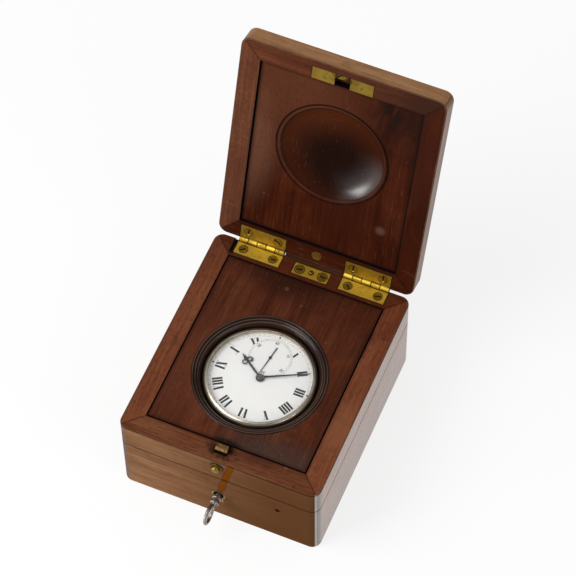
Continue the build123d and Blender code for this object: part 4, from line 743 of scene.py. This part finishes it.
def ring_wood(name, looks):
    """Turned and ebonised wood of the aperture ring, rubbed brown on its beads."""
    bench = Bench(name)
    spot = bench.place()
    x, y, z = bench.split(spot)
    tone, _, clouds = wood_figure(bench, looks, spot, "X", 7)
    reach = ring_radius - radius_from(x, y, dial_centre.x, dial_centre.y)
    wood = bench.mix(tone.rises(0.4, 0.65) * 0.4, looks.ebony, looks.panel_mid)
    band = abs(reach - 1.45 * MM).falls(0.7 * MM, 1.0 * MM)
    wood = bench.mix(band * clouds.rises(0.3, 0.65) * 0.55, wood, (0.075, 0.034, 0.019))
    bead = abs(reach - 0.75 * MM).smallest(abs(reach - 2.35 * MM)).smallest(abs(reach - 3.5 * MM))
    bead = bead.falls(0.04 * MM, 0.22 * MM)
    wood = bench.mix(bead * clouds.rises(0.30, 0.55) * 0.75, wood, (0.130, 0.085, 0.060))
    quirk = abs(reach - 0.25 * MM).smallest(abs(reach - 1.15 * MM)).smallest(abs(reach - 2.75 * MM))
    wood = bench.mix(quirk.falls(0.08 * MM, 0.28 * MM) * 0.85, wood, looks.groove)
    # Painted light on the lower right of the cove, which is lighter brown there.
    cove = z.falls(tray_top - 3.2 * MM, tray_top - 0.9 * MM)
    wood = patched(bench, looks, wood, spot, tray_top, clouds, RING_COVE_LIGHT, cove)
    rough = clouds.spans(0.28, 0.44)
    return bench.finish(Base_Color=wood, Roughness=rough, Coat_Weight=0.18, Coat_Roughness=0.10,
                        Coat_IOR=1.5, Specular_IOR_Level=0.1,
                        Normal=bench.bump(tone, 0.02 * MM, 0.5))


def metal(name, clean, film, film_share, spotted, along, rough, on_lid=False, marks=None, coat=0.0):
    """A brushed metal with a patchy film; marks adds dirt, and painted shade in screw slots, from
    the three coordinates.
    """
    bench = Bench(name)
    spot = bench.place(on_lid)
    brushed = bench.noise(spot, along, 3.0, 0.6)
    patches = bench.noise(spot, (spotted, spotted, spotted), 4.0, 0.62, 0.3)
    tone = bench.mix(patches.rises(0.42, 0.66) * film_share, clean, film)
    tone = bench.mix(brushed.rises(0.35, 0.7) * 0.22, tone, film)
    roughness = brushed.spans(rough - 0.08, rough + 0.14) + patches.rises(0.45, 0.7) * 0.15
    if marks:
        dirt_and_slot_shade = marks(bench, *bench.split(spot))
        tone = bench.mix(dirt_and_slot_shade, tone, bpy.context.scene.watch_box_metal.dirt)
        roughness = roughness + dirt_and_slot_shade * 0.4
    return bench.finish(Base_Color=tone, Metallic=1.0, Roughness=roughness, Coat_Weight=coat,
                        Coat_Roughness=0.1, Normal=bench.bump(brushed, 0.01 * MM, 0.5))


def leaf_marks(bench, x, y, z):
    """Dirt round the screw heads, along the edges of the leaves and between the knuckles."""
    along = abs(abs(x) - leaf_spread)
    back = lid_pin.y - y
    ring = abs(radius_from(along, back, 8.4 * MM, 5.7 * MM) - 2.35 * MM).falls(0.12 * MM, 0.42 * MM)
    ends = along.rises(12.35 * MM, 12.75 * MM)
    front = back.rises(9.0 * MM, 9.35 * MM)
    root = abs(back - 1.85 * MM).falls(0.15 * MM, 0.45 * MM)
    joint = abs(along - 2.56 * MM).smallest(abs(along - 7.68 * MM)).falls(0.16 * MM, 0.34 * MM)
    joint = joint * back.falls(1.9 * MM, 2.2 * MM)
    grime = bench.noise(bench.point(x, y, z), (500, 500, 500), 3.0)
    lines = (ends.largest(front) * 0.7 * grime.rises(0.25, 0.5)).largest(root * 0.75)
    return lines.largest(ring * 0.92).largest(joint * 0.9).largest(grime.rises(0.62, 0.72) * 0.30)


def plate_marks(bench, x, y, z):
    """Dirt round the two screws and the plunger of the lifter plate, and along its edges."""
    along = abs(x - lifter_middle[0])
    back = y - lifter_middle[1]
    ring = abs(radius_from(along, back, 6.4 * MM, 0) - 2.65 * MM).falls(0.12 * MM, 0.5 * MM)
    hole = radius_from(along, back, 0, 0).falls(1.3 * MM, 1.9 * MM)
    edge = (along - lifter_half[0]).largest(abs(back) - lifter_half[1]).rises(-0.5 * MM, -0.1 * MM)
    return (ring * 0.92).largest(hole * 0.9).largest(edge * 0.6)


def strike_marks(bench, x, y, z):
    """Faint rings of the strike's flush pins, and scuffs at its notch."""
    along = abs(x)
    back = y - strike_middle[1]
    ring = abs(radius_from(along, back, 9.0 * MM, 0) - 1.7 * MM).falls(0.06 * MM, 0.25 * MM)
    rub = bench.noise(bench.point(x, y, z), (420, 420, 420), 3.0, 0.6)
    scuff = along.falls(3.5 * MM, 5.6 * MM) * (-1 * back).rises(-0.6 * MM, 0.4 * MM)
    edge = (along - strike_half[0]).largest(abs(back) - strike_half[1]).rises(-0.45 * MM, -0.1 * MM)
    return (ring * 0.35).largest(scuff * rub.rises(0.42, 0.56) * 0.9).largest(edge * 0.45)


def bezel_marks(bench, x, y, z):
    """Dark line between the bezel's two beads."""
    reach = radius_from(x, y, dial_centre.x, dial_centre.y)
    return abs(reach - 28.45 * MM).falls(0.06 * MM, 0.24 * MM) * 0.7


def slot_dirt_and_shade(levels):
    """Dirt and painted shade in screw slots, which lie below the faces at these heights."""
    def marks(bench, x, y, z):
        depth = abs(z - levels[0])
        for level in levels[1:]:
            depth = depth.smallest(abs(z - level))
        return depth.rises(0.08 * MM, 0.2 * MM) * 0.95
    return marks


def lid_screw_marks(bench, x, y, z):
    """Dirt and painted shade in the slots of the lid's screws, and a film over the flush pins of
    the strike.
    """
    return slot_dirt_and_shade((lid_low,))(bench, x, y, z).largest(y.falls(-40 * MM, -30 * MM) * 0.55)


def hand_steel(looks):
    """Blued steel of the hands, rubbed bright on the centre boss."""
    bench = Bench("blued_steel")
    spot = bench.place()
    x, y, _ = bench.split(spot)
    patches = bench.noise(spot, (600, 600, 600), 3.0)
    tone = bench.mix(patches.rises(0.4, 0.7) * 0.4, looks.blued, looks.dirt)
    boss = radius_from(x, y, dial_centre.x, dial_centre.y).falls(1.9 * MM, 2.1 * MM)
    tone = bench.mix(boss * patches.spans(0.35, 0.85), tone, (0.300, 0.250, 0.200))
    return bench.finish(Base_Color=tone, Metallic=1.0, Roughness=patches.spans(0.18, 0.34))


def dial_enamel(looks):
    """White fired enamel, a little uneven."""
    bench = Bench("dial_enamel")
    mottle = bench.noise(bench.place(), (60, 60, 60), 3.0)
    enamel = bench.mix(mottle * 0.10, looks.enamel, (0.84, 0.83, 0.80))
    return bench.finish(Base_Color=enamel, Roughness=0.35, Coat_Weight=0.3, Coat_Roughness=0.05,
                        Specular_IOR_Level=0.3)


def crystal_glass():
    """Clear glass that shows its gloss at a slant."""
    bench = Bench("crystal_glass")
    gloss = bench.node("ShaderNodeFresnel", None, {"IOR": 1.5})
    bench.material.surface_render_method = "BLENDED"
    return bench.finish(Base_Color=(0.95, 0.96, 0.96), Roughness=0.03, IOR=1.5,
                        Specular_IOR_Level=0.6, Alpha=gloss.spans(0.01, 0.30))


def paint_material(name, tone):
    """Fired paint, a little uneven."""
    bench = Bench(name)
    spot = bench.place()
    patchy = bench.noise(spot, (1500, 1500, 1500), 2.0)
    base = bench.mix(patchy.rises(0.5, 0.8) * 0.10, tone, (0.20, 0.20, 0.20))
    return bench.finish(Base_Color=base, Roughness=patchy.spans(0.2, 0.4))


def nest_pile():
    """Green cloth with a short crushed pile."""
    bench = Bench("nest_pile")
    spot = bench.place()
    pile = bench.noise(spot, (3500, 3500, 3500), 2.0)
    crush = bench.noise(spot, (140, 140, 140), 3.0)
    cloth = bench.mix(crush.rises(0.35, 0.65), (0.020, 0.060, 0.038), (0.045, 0.110, 0.070))
    cloth = bench.mix(pile.rises(0.4, 0.7) * 0.5, cloth, (0.080, 0.150, 0.105))
    return bench.finish(Base_Color=cloth, Roughness=0.95, Sheen_Weight=0.5,
                        Normal=bench.bump(pile + crush * 0.5, 0.15 * MM, 0.8))


def clear_selection():
    """Nothing is selected, in object mode."""
    if bpy.context.object and bpy.context.object.mode != "OBJECT":
        bpy.ops.object.mode_set(mode="OBJECT")
    bpy.ops.object.select_all(action="DESELECT")


def select_points(test):
    """Selects the points of the edited mesh that pass a test of their place."""
    mesh = bmesh.from_edit_mesh(bpy.context.object.data)
    bpy.ops.mesh.select_mode(type="VERT")
    bpy.ops.mesh.select_all(action="DESELECT")
    for point in mesh.verts:
        point.select = test(point.co)
    mesh.select_flush_mode()
    bmesh.update_edit_mesh(bpy.context.object.data)


def select_faces(test):
    """Selects the faces of the edited mesh that pass a test of their middle and normal."""
    mesh = bmesh.from_edit_mesh(bpy.context.object.data)
    bpy.ops.mesh.select_mode(type="FACE")
    bpy.ops.mesh.select_all(action="DESELECT")
    for face in mesh.faces:
        face.select = test(face.calc_center_median(), face.normal)
    mesh.select_flush_mode()
    bmesh.update_edit_mesh(bpy.context.object.data)


def settle(name, body, material):
    """Names the active piece, applies its place, and sets its material and body."""
    piece = bpy.context.object
    bpy.ops.object.transform_apply(location=True, rotation=True, scale=True)
    piece.name = name
    piece.data.name = name
    piece.data.materials.clear()
    piece.data.materials.append(material)
    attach(piece, body)
    return piece


def pick(piece):
    """Selects one piece alone and makes it active."""
    clear_selection()
    piece.select_set(True)
    bpy.context.view_layer.objects.active = piece


def cut_away(piece, cutter, name, crossing=False):
    """Cuts one piece out of another, whose own parts may be crossing, and removes the cutter."""
    pick(piece)
    cut = piece.modifiers.new(name, "BOOLEAN")
    cut.operation = "DIFFERENCE"
    cut.object = cutter
    cut.use_self = crossing
    bpy.ops.object.modifier_apply(modifier=cut.name)
    bpy.data.objects.remove(cutter)


def heal(piece):
    """Merges doubled points, removes slivers and turns the faces outwards."""
    pick(piece)
    bpy.ops.object.mode_set(mode="EDIT")
    bpy.ops.mesh.select_all(action="SELECT")
    bpy.ops.mesh.remove_doubles(threshold=WELD)
    bpy.ops.mesh.dissolve_degenerate(threshold=WELD)
    bpy.ops.mesh.select_all(action="SELECT")
    bpy.ops.mesh.normals_make_consistent(inside=False)
    bpy.ops.object.mode_set(mode="OBJECT")


def join(pieces):
    """Joins pieces into the first of them."""
    clear_selection()
    for piece in pieces:
        piece.select_set(True)
    bpy.context.view_layer.objects.active = pieces[0]
    bpy.ops.object.join()
    return pieces[0]


def stroke(foot, head, foot_x, head_x, width, thickness):
    """One stroke of a numeral between its foot and head lines, in the plane of the dial."""
    clear_selection()
    bpy.ops.mesh.primitive_cube_add(size=1, location=(foot_x, (foot + head) / 2, 0),
                                    scale=(width, head - foot, thickness))
    bpy.ops.object.transform_apply(location=True, rotation=True, scale=True)
    if head_x != foot_x:
        bpy.ops.object.mode_set(mode="EDIT")
        select_points(lambda co: co.y > (foot + head) / 2)
        bpy.ops.transform.translate(value=(head_x - foot_x, 0, 0))
        bpy.ops.object.mode_set(mode="OBJECT")
    return bpy.context.object


def numeral(text, looks):
    """The strokes of a Roman numeral, its feet towards the centre of the dial."""
    foot = looks.numeral_foot
    head = looks.numeral_head
    thick = looks.thick_stroke
    thin = looks.thin_stroke
    advance = {"I": 1.56 * MM, "V": 3.0 * MM, "X": 3.0 * MM}
    serif = 0.10 * MM
    start = -sum(advance[letter] for letter in text) / 2
    strokes = []
    for letter in text:
        middle = start + advance[letter] / 2
        spread = advance[letter] / 2 - thick * 0.62
        feet = []
        heads = []
        if letter == "I":
            strokes.append(stroke(foot, head, middle, middle, thick, looks.paint))
            feet = heads = [middle]
        elif letter == "V":
            strokes.append(stroke(foot, head, middle, middle - spread, thick, looks.paint))
            strokes.append(stroke(foot, head, middle, middle + spread, thin, looks.paint))
            heads = [middle - spread, middle + spread]
        else:
            strokes.append(stroke(foot, head, middle + spread, middle - spread, thick, looks.paint))
            strokes.append(stroke(foot, head, middle - spread, middle + spread, thin, looks.paint))
            feet = heads = [middle - spread, middle + spread]
        reach = thick * 1.35
        for place in feet:
            strokes.append(stroke(foot, foot + serif, place, place, reach, looks.paint))
        for place in heads:
            strokes.append(stroke(head - serif, head, place, place, reach, looks.paint))
        start += advance[letter]
    return strokes


def turn_to(piece, centre, clockwise):
    """Turns a piece drawn along +Y round the origin to its hour, and moves it to its dial."""
    pick(piece)
    piece.matrix_world = Matrix.Translation(centre) @ Matrix.Rotation(-clockwise, 4, "Z")
    bpy.ops.object.transform_apply(location=True, rotation=True, scale=True)


def thin_ring(inner, outer, centre, thickness):
    """A flat ring of fired paint."""
    clear_selection()
    bpy.ops.mesh.primitive_circle_add(vertices=192, radius=outer, fill_type="NGON", location=centre)
    bpy.ops.object.mode_set(mode="EDIT")
    bpy.ops.mesh.select_all(action="SELECT")
    bpy.ops.mesh.inset(thickness=outer - inner, depth=0)
    bpy.ops.mesh.delete(type="FACE")
    bpy.ops.mesh.select_all(action="SELECT")
    bpy.ops.mesh.extrude_region_move(TRANSFORM_OT_translate={"value": (0, 0, thickness)})
    bpy.ops.mesh.select_all(action="SELECT")
    bpy.ops.mesh.normals_make_consistent(inside=False)
    bpy.ops.object.mode_set(mode="OBJECT")
    bpy.context.object.location.z -= thickness / 2
    bpy.ops.object.transform_apply(location=True, rotation=True, scale=True)
    return bpy.context.object


def ticks(count, inner, outer, width, centre, thickness):
    """Ticks of a track: one is drawn and spun round its dial."""
    tick = stroke(inner, outer, 0, 0, width, thickness)
    bpy.ops.object.mode_set(mode="EDIT")
    bpy.ops.mesh.select_all(action="SELECT")
    bpy.ops.mesh.spin(steps=count - 1, dupli=True, angle=FULL_TURN * (count - 1) / count,
                      center=(0, 0, 0), axis=(0, 0, 1))
    bpy.ops.object.mode_set(mode="OBJECT")
    turn_to(tick, centre, 0)
    return tick


def track(inner, outer, line, hour_width, centre, paint):
    """Two lines with ticks between them; each layer is a little thinner, so none share a face."""
    low = inner - line / 2
    high = outer + line / 2
    return [
        thin_ring(inner - line, inner, centre, paint),
        thin_ring(outer, outer + line, centre, paint),
        ticks(MINUTES, low, high, 0.10 * MM, centre, paint * 0.9),
        ticks(HOURS, low, high, hour_width, centre, paint * 0.8),
    ]


class WATCHBOX_OT_wood(bpy.types.Operator):
    """Polished mahogany on the frames, panels, nest and aperture ring"""

    bl_idname = "watch_box.wood"
    bl_label = "Mahogany"

    def execute(self, context):
        looks = context.scene.watch_box_wood
        tiers = {
            "base": (0, base_top, False, "wall"),
            "tray": (tray_low, tray_top, False, "rail"),
            "lid": (lid_low, lid_low + lid_thickness, True, "rail"),
        }
        styles = {
            "front": RailLook(rim=(0.92, 0.94, 0.94), face=(1.12, 1.20, 1.36), sheen=0.0),
            "back": RailLook(rim=(0.52, 0.36, 0.30)),
            "left": RailLook(rim=(1.08, 1.00, 0.97), face=(1.05, 1.0, 0.90), gloss=1.0),
            "right": RailLook(rim=(1.10, 0.98, 0.95), face=(1.25, 1.02, 0.80), gloss=0.80),
            "lid_front": RailLook(rim=(0.66, 0.56, 0.48), face=(1.80, 2.00, 2.15), polish=0.03),
            "lid_back": RailLook(rim=(0.27, 0.15, 0.11), polish=0.02),
            "lid_left": RailLook(rim=(0.76, 0.74, 0.70), face=(1.1, 1.1, 1.1), gloss=0.3,
                                 polish=0.06),
            "lid_right": RailLook(rim=(0.28, 0.15, 0.09), face=(1.1, 1.05, 0.95), gloss=0.33,
                                  polish=0.02),
        }
        marks = {
            "base_front": front_marks, "tray_front": front_marks,
            "base_right": right_marks, "tray_right": right_marks,
            "base_left": left_marks, "tray_left": left_marks,
            "tray_back": tray_back_marks,
            "lid_back": lid_back_marks, "lid_front": lid_front_marks,
        }
        for row, (tier, (low, top, on_lid, kind)) in enumerate(tiers.items()):
            for step, side in enumerate(("front", "back", "left", "right")):
                name = f"{tier}_{side}"
                grain = "X" if step < 2 else "Y"
                seed = 1 + row * 4 + step
                look = styles.get(name, styles[side])
                wood = rail_wood(f"mahogany_{name}", looks, grain, low, top, on_lid, seed, look,
                                 marks.get(name))
                dress(wood, f"{name}_{kind}", *(["back_bead"] if name == "tray_back" else []))
        dress(panel_wood("mahogany_tray_panel", looks, False, 21), "tray_panel")
        dress(panel_wood("mahogany_lid_panel", looks, True, 27), "lid_panel")
        dress(plain_wood("mahogany_inside", looks, 33), "watch_nest", "base_board")
        dress(ring_wood("ebonised_ring", looks), "aperture_ring")
        return {"FINISHED"}


class WATCHBOX_OT_fittings(bpy.types.Operator):
    """Brass on the hinges, plates, lock and button, and steel on the key and springs"""

    bl_idname = "watch_box.fittings"
    bl_label = "Fittings"

    def execute(self, context):
        looks = context.scene.watch_box_metal
        along_x = (70, 3200, 3200)
        fine = (900, 900, 900)
        brass = looks.brass
        tarnish = looks.tarnish
        dirt = looks.dirt
        tray_slots = slot_dirt_and_shade((base_top, tray_low, tray_top))
        finishes = (
            ("brass_leaves", tinted(brass, (1.36, 1.40, 1.00)), tarnish, 0.36, 150, along_x, 0.48,
             {"marks": leaf_marks},
             ("lid_hinge_left_lower_leaf", "lid_hinge_right_lower_leaf", "seam_hinge_base_leaves",
              "seam_hinge_tray_leaves")),
            ("brass_lid_leaves", tinted(brass, (1.0, 1.03, 0.75)), tarnish, 0.58, 140, along_x,
             0.33, {"on_lid": True, "marks": leaf_marks},
             ("lid_hinge_left_upper_leaf", "lid_hinge_right_upper_leaf")),
            ("hinge_pin_steel", dirt, tarnish, 0.50, 300, fine, 0.45, {}, ("hinge_pins",)),
            ("brass_lifter_plate", tinted(brass, (1.56, 1.52, 0.95)), tarnish, 0.36, 260, along_x,
             0.38, {"marks": plate_marks}, ("lifter_plate",)),
            ("brass_plates", brass, tarnish, 0.45, 220, along_x, 0.24, {"coat": 0.2},
             ("lock_keep", "lock_case", "lock_bolt")),
            ("brass_escutcheon", looks.brass_dull, dirt, 0.60, 420, fine, 0.34, {},
             ("keyhole_escutcheon",)),
            ("brass_strike", tinted(brass, (0.44, 0.44, 0.44)), tarnish, 0.75, 150, along_x, 0.30,
             {"on_lid": True, "marks": strike_marks}, ("strike_plate",)),
            ("brass_catch", (0.250, 0.150, 0.055), dirt, 0.60, 420, fine, 0.45, {}, ("lid_catch",)),
            ("brass_button", (0.240, 0.175, 0.036), tarnish, 0.60, 420, fine, 0.30, {},
             ("push_button", "lifter_plunger")),
            ("brass_bush", tarnish, dirt, 0.60, 420, fine, 0.36, {}, ("button_bush",)),
            ("brass_bearing", looks.brass_dull, tarnish, 0.55, 380, fine, 0.30, {"on_lid": True},
             ("bearing_disc",)),
            ("brass_screws", brass, tarnish, 0.75, 400, fine, 0.28, {"marks": tray_slots},
             ("base_screws", "tray_screws")),
            ("brass_lid_screws", brass, tarnish, 0.80, 400, fine, 0.28,
             {"on_lid": True, "marks": lid_screw_marks}, ("lid_screws",)),
            ("key_steel", looks.steel, looks.rust, 0.55, 420, fine, 0.32, {}, ("key",)),
            ("spring_steel", looks.steel, looks.rust, 0.20, 300, fine, 0.30, {},
             ("lifter_spring", "catch_spring", "catch_pivot_pin")),
        )
        for *finish, options, nodes in finishes:
            dress(metal(*finish, **options), *nodes)
        return {"FINISHED"}


class WATCHBOX_OT_watch(bpy.types.Operator):
    """Silver, glass, enamel, blued hands and gilt movement of the watch"""

    bl_idname = "watch_box.watch"
    bl_label = "Watch"

    def execute(self, context):
        looks = context.scene.watch_box_metal
        fine = (700, 700, 700)
        dress(metal("watch_silver", looks.silver, looks.tarnish, 0.28, 180, fine, 0.20),
              "watch_case", "watch_pendant", "watch_bow")
        dress(metal("silver_gilt", (0.600, 0.535, 0.440), looks.tarnish, 0.34, 200, fine, 0.27,
                    marks=bezel_marks),
              "watch_bezel")
        dress(metal("gilt_brass", looks.gilt, looks.tarnish, 0.20, 240, fine, 0.26),
              "movement_back_plate", "movement_pillar_plate", "centre_wheel", "fourth_wheel",
              "third_wheel", "mainspring_barrel", "balance_wheel")
        dress(hand_steel(looks), "minute_hand", "hour_hand", "seconds_hand")
        dress(dial_enamel(context.scene.watch_box_dial), "watch_dial")
        dress(crystal_glass(), "watch_crystal")
        return {"FINISHED"}


class WATCHBOX_OT_hours(bpy.types.Operator):
    """Roman hour numerals, cut short where the seconds dial crosses them"""

    bl_idname = "watch_box.hours"
    bl_label = "Hour Numerals"

    def execute(self, context):
        looks = context.scene.watch_box_dial
        hours = ("I", "II", "III", "IIII", "V", "VI", "VII", "VIII", "IX", "X", "XI")
        made = []
        for hour, text in enumerate(hours, start=1):
            piece = join(numeral(text, looks))
            turn_to(piece, dial_centre, FULL_TURN * hour / HOURS)
            made.append(piece)
        letters = join(made)
        clear_selection()
        gap = 0.35 * MM
        bpy.ops.mesh.primitive_cylinder_add(vertices=96, radius=looks.seconds_outer + gap,
                                            depth=2 * MM, location=seconds_centre)
        cut_away(letters, context.object, "seconds_cut", crossing=True)
        heal(letters)
        settle("hour_numerals", "base", paint_material("hour_paint", looks.ink))
        return {"FINISHED"}


class WATCHBOX_OT_minutes(bpy.types.Operator):
    """Minute track of two lines and sixty ticks, heavier at the hours and quarters"""

    bl_idname = "watch_box.minutes"
    bl_label = "Minute Track"

    def execute(self, context):
        looks = context.scene.watch_box_dial
        inner = looks.track_inner
        outer = looks.track_outer
        made = track(inner, outer, 0.05 * MM, 0.16 * MM, dial_centre, looks.paint)
        quarter_width = 0.85 * MM
        made.append(ticks(QUARTERS, inner + 0.2 * MM, outer + 0.15 * MM, quarter_width, dial_centre,
                          looks.paint * 0.7))
        join(made)
        settle("minute_track", "base", paint_material("minute_paint", looks.ink))
        return {"FINISHED"}


class WATCHBOX_OT_seconds(bpy.types.Operator):
    """Seconds dial: its track, ticks and figures"""

    bl_idname = "watch_box.seconds"
    bl_label = "Seconds Dial"

    def execute(self, context):
        looks = context.scene.watch_box_dial
        paint = looks.paint
        made = track(looks.seconds_inner, looks.seconds_outer, 0.07 * MM, 0.22 * MM, seconds_centre,
                     paint)
        figures = ("60", "10", "20", "30", "40", "50")
        for mark, text in enumerate(figures):
            clear_selection()
            bpy.ops.object.text_add(location=(0, 0, 0))
            figure = bpy.context.object
            figure.data.body = text
            figure.data.size = 2.1 * MM
            figure.data.extrude = paint / 2
            figure.data.offset = 0.05 * MM
            figure.data.resolution_u = 5
            figure.data.align_x = "CENTER"
            figure.data.align_y = "CENTER"
            bpy.ops.object.convert(target="MESH")
            heal(bpy.context.object)
            bpy.context.object.location.y = looks.figure_radius
            bpy.ops.object.transform_apply(location=True, rotation=True, scale=True)
            turn_to(bpy.context.object, seconds_centre, FULL_TURN * mark / len(figures))
            made.append(bpy.context.object)
        join(made)
        settle("seconds_track", "base",
               paint_material("seconds_paint", looks.soft_ink))
        return {"FINISHED"}


class WATCHBOX_OT_nest_cloth(bpy.types.Operator):
    """Cloth that lines the nest, with a rolled lip and a gap for the pendant"""

    bl_idname = "watch_box.nest_cloth"
    bl_label = "Nest Cloth"

    def execute(self, context):
        radius = (nest_high.x - nest_low.x) / 2
        depth = nest_high.z - nest_low.z
        wall = 0.8 * MM
        centre_x = (nest_low.x + nest_high.x) / 2
        centre = Vector((centre_x, nest_low.y + radius, nest_low.z + depth / 2))
        clear_selection()
        bpy.ops.mesh.primitive_cylinder_add(vertices=128, radius=radius, depth=depth,
                                            location=centre)
        piece = context.object
        bpy.ops.object.transform_apply(location=True, rotation=True, scale=True)
        bpy.ops.object.mode_set(mode="EDIT")
        select_faces(lambda middle, normal: normal.z > 0.9)
        bpy.ops.mesh.inset(thickness=wall, depth=0)
        bpy.ops.mesh.extrude_region_move(TRANSFORM_OT_translate={"value": (0, 0, wall - depth)})
        bpy.ops.object.mode_set(mode="OBJECT")
        lip = piece.modifiers.new("lip", "BEVEL")
        lip.width = 0.3 * MM
        lip.segments = 3
        lip.limit_method = "ANGLE"
        lip.angle_limit = math.radians(50)
        bpy.ops.object.modifier_apply(modifier=lip.name)
        clear_selection()
        gap = 3.4 * MM
        pendant_z = (pendant_low.z + pendant_high.z) / 2
        bpy.ops.mesh.primitive_cylinder_add(vertices=48, radius=gap, depth=2 * radius,
                                            location=(centre.x, centre.y + radius, pendant_z),
                                            rotation=(math.pi / 2, 0, 0))
        cut_away(piece, context.object, "pendant_gap")
        bpy.ops.object.shade_smooth_by_angle(angle=math.radians(40))
        settle("nest_cloth", "base", nest_pile())
        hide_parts("nest_lining")
        return {"FINISHED"}


class WATCHBOX_OT_stage(bpy.types.Operator):
    """Pale floor, soft lamps and the camera at the photograph's angle"""

    bl_idname = "watch_box.stage"
    bl_label = "Stage"

    def execute(self, context):
        looks = context.scene.watch_box_stage
        clear_selection()
        bpy.ops.mesh.primitive_plane_add(size=8, location=(0, 0, cad_box[0][2]))
        floor = context.object
        bpy.ops.object.transform_apply(location=True, rotation=True, scale=True)
        floor.name = "floor"
        floor.data.materials.append(self.floor_material(looks))
        self.light_world(context, looks)
        self.lamp("key_lamp", (-0.75, -0.55, 1.15), 0.9, looks.key_power)
        self.lamp("fill_lamp", (1.1, -0.35, 0.75), 0.8, looks.fill_power)
        self.lamp("low_lamp", (-0.95, -1.13, 0.24), 0.46, looks.low_power)
        self.place_camera(context)
        return {"FINISHED"}

    @staticmethod
    def floor_material(looks):
        """White to the camera and in what shines, with a trace of the shadow left."""
        bench = Bench("pale_floor")
        bench.finish(Base_Color=tuple(looks.floor), Roughness=0.9)
        path = bench.tree.nodes.new("ShaderNodeLightPath")
        seen = [Wire(bench, path.outputs[name])
                for name in ("Is Camera Ray", "Is Glossy Ray", "Is Transmission Ray")]
        share = seen[0].largest(seen[1]).largest(seen[2]) * looks.floor_glow
        glow = bench.node("ShaderNodeEmission", None, {"Color": (1, 1, 1, 1), "Strength": 1.0})
        matt = Wire(bench, bench.shader.outputs[0])
        both = bench.node("ShaderNodeMixShader", None, {0: share, 1: matt, 2: glow})
        bench.tree.links.new(both.socket, bench.tree.nodes["Material Output"].inputs["Surface"])
        return bench.material

    @staticmethod
    def light_world(context, looks):
        """Even light all round, and white where the camera looks past the floor."""
        world = bpy.data.worlds.new("studio")
        world.use_nodes = True
        context.scene.world = world
        nodes = world.node_tree.nodes
        links = world.node_tree.links
        around = nodes["Background"]
        around.inputs["Color"].default_value = (1, 1, 1, 1)
        around.inputs["Strength"].default_value = looks.sky
        white = nodes.new("ShaderNodeBackground")
        white.inputs["Strength"].default_value = 1.0
        path = nodes.new("ShaderNodeLightPath")
        choose = nodes.new("ShaderNodeMixShader")
        links.new(path.outputs["Is Camera Ray"], choose.inputs[0])
        links.new(around.outputs[0], choose.inputs[1])
        links.new(white.outputs[0], choose.inputs[2])
        links.new(choose.outputs[0], nodes["World Output"].inputs["Surface"])

    @staticmethod
    def lamp(name, place, size, power):
        """A soft square lamp that faces the box."""
        clear_selection()
        bpy.ops.object.light_add(type="AREA", location=place)
        lamp = bpy.context.object
        lamp.name = name
        lamp.data.size = size
        lamp.data.energy = power
        from_box = Vector(place) - Vector((0, 0, 0.06))
        lamp.rotation_euler = from_box.to_track_quat("Z", "Y").to_euler()

    @staticmethod
    def place_camera(context):
        """The camera, by its bearing, height angle and roll round a point over the dial."""
        bearing = math.radians(23.7174)
        rise = math.radians(57.9667)
        roll = math.radians(-0.9337)
        aim = Vector((-0.00707, 0.04536, 0.055))
        distance = 1.46877
        turn = (Matrix.Rotation(bearing, 4, "Z") @ Matrix.Rotation(math.pi / 2 - rise, 4, "X")
                @ Matrix.Rotation(roll, 4, "Z"))
        clear_selection()
        bpy.ops.object.camera_add()
        camera = context.object
        camera.name = "camera"
        camera.data.lens = 176.372
        camera.data.sensor_width = 36.0
        camera.data.clip_start = 0.01
        place = aim + turn.to_3x3() @ Vector((0, 0, distance))
        camera.matrix_world = Matrix.Translation(place) @ turn
        context.scene.camera = camera
        context.scene.view_settings.view_transform = "Standard"


OPERATORS = (
    WATCHBOX_OT_wood,
    WATCHBOX_OT_fittings,
    WATCHBOX_OT_watch,
    WATCHBOX_OT_hours,
    WATCHBOX_OT_minutes,
    WATCHBOX_OT_seconds,
    WATCHBOX_OT_nest_cloth,
    WATCHBOX_OT_stage,
)


class WATCHBOX_PT_panel(bpy.types.Panel):
    """Sidebar panel that lists the pieces of the watch box"""

    bl_label = "Watch Box"
    bl_idname = "WATCHBOX_PT_panel"
    bl_space_type = "VIEW_3D"
    bl_region_type = "UI"
    bl_category = "Watch Box"

    def draw(self, context):
        for operator in OPERATORS:
            self.layout.operator(operator.bl_idname)


SETTINGS = {
    "watch_box_wood": WoodLooks,
    "watch_box_metal": MetalLooks,
    "watch_box_dial": DialLooks,
    "watch_box_stage": StageLooks,
}


def register():
    """Adds the settings, operators and panel to Blender."""
    for name, group in SETTINGS.items():
        bpy.utils.register_class(group)
        setattr(bpy.types.Scene, name, PointerProperty(type=group))
    for made in (*OPERATORS, WATCHBOX_PT_panel):
        bpy.utils.register_class(made)


def unregister():
    """Takes them out again."""
    for made in reversed((*OPERATORS, WATCHBOX_PT_panel)):
        bpy.utils.unregister_class(made)
    for name, group in SETTINGS.items():
        delattr(bpy.types.Scene, name)
        bpy.utils.unregister_class(group)


def main():
    """Dresses the box piece by piece."""
    register()
    bpy.ops.watch_box.wood()
    bpy.ops.watch_box.fittings()
    bpy.ops.watch_box.watch()
    bpy.ops.watch_box.hours()
    bpy.ops.watch_box.minutes()
    bpy.ops.watch_box.seconds()
    bpy.ops.watch_box.nest_cloth()
    bpy.ops.watch_box.stage()
    clear_selection()


if __name__ == "__main__":
    main()
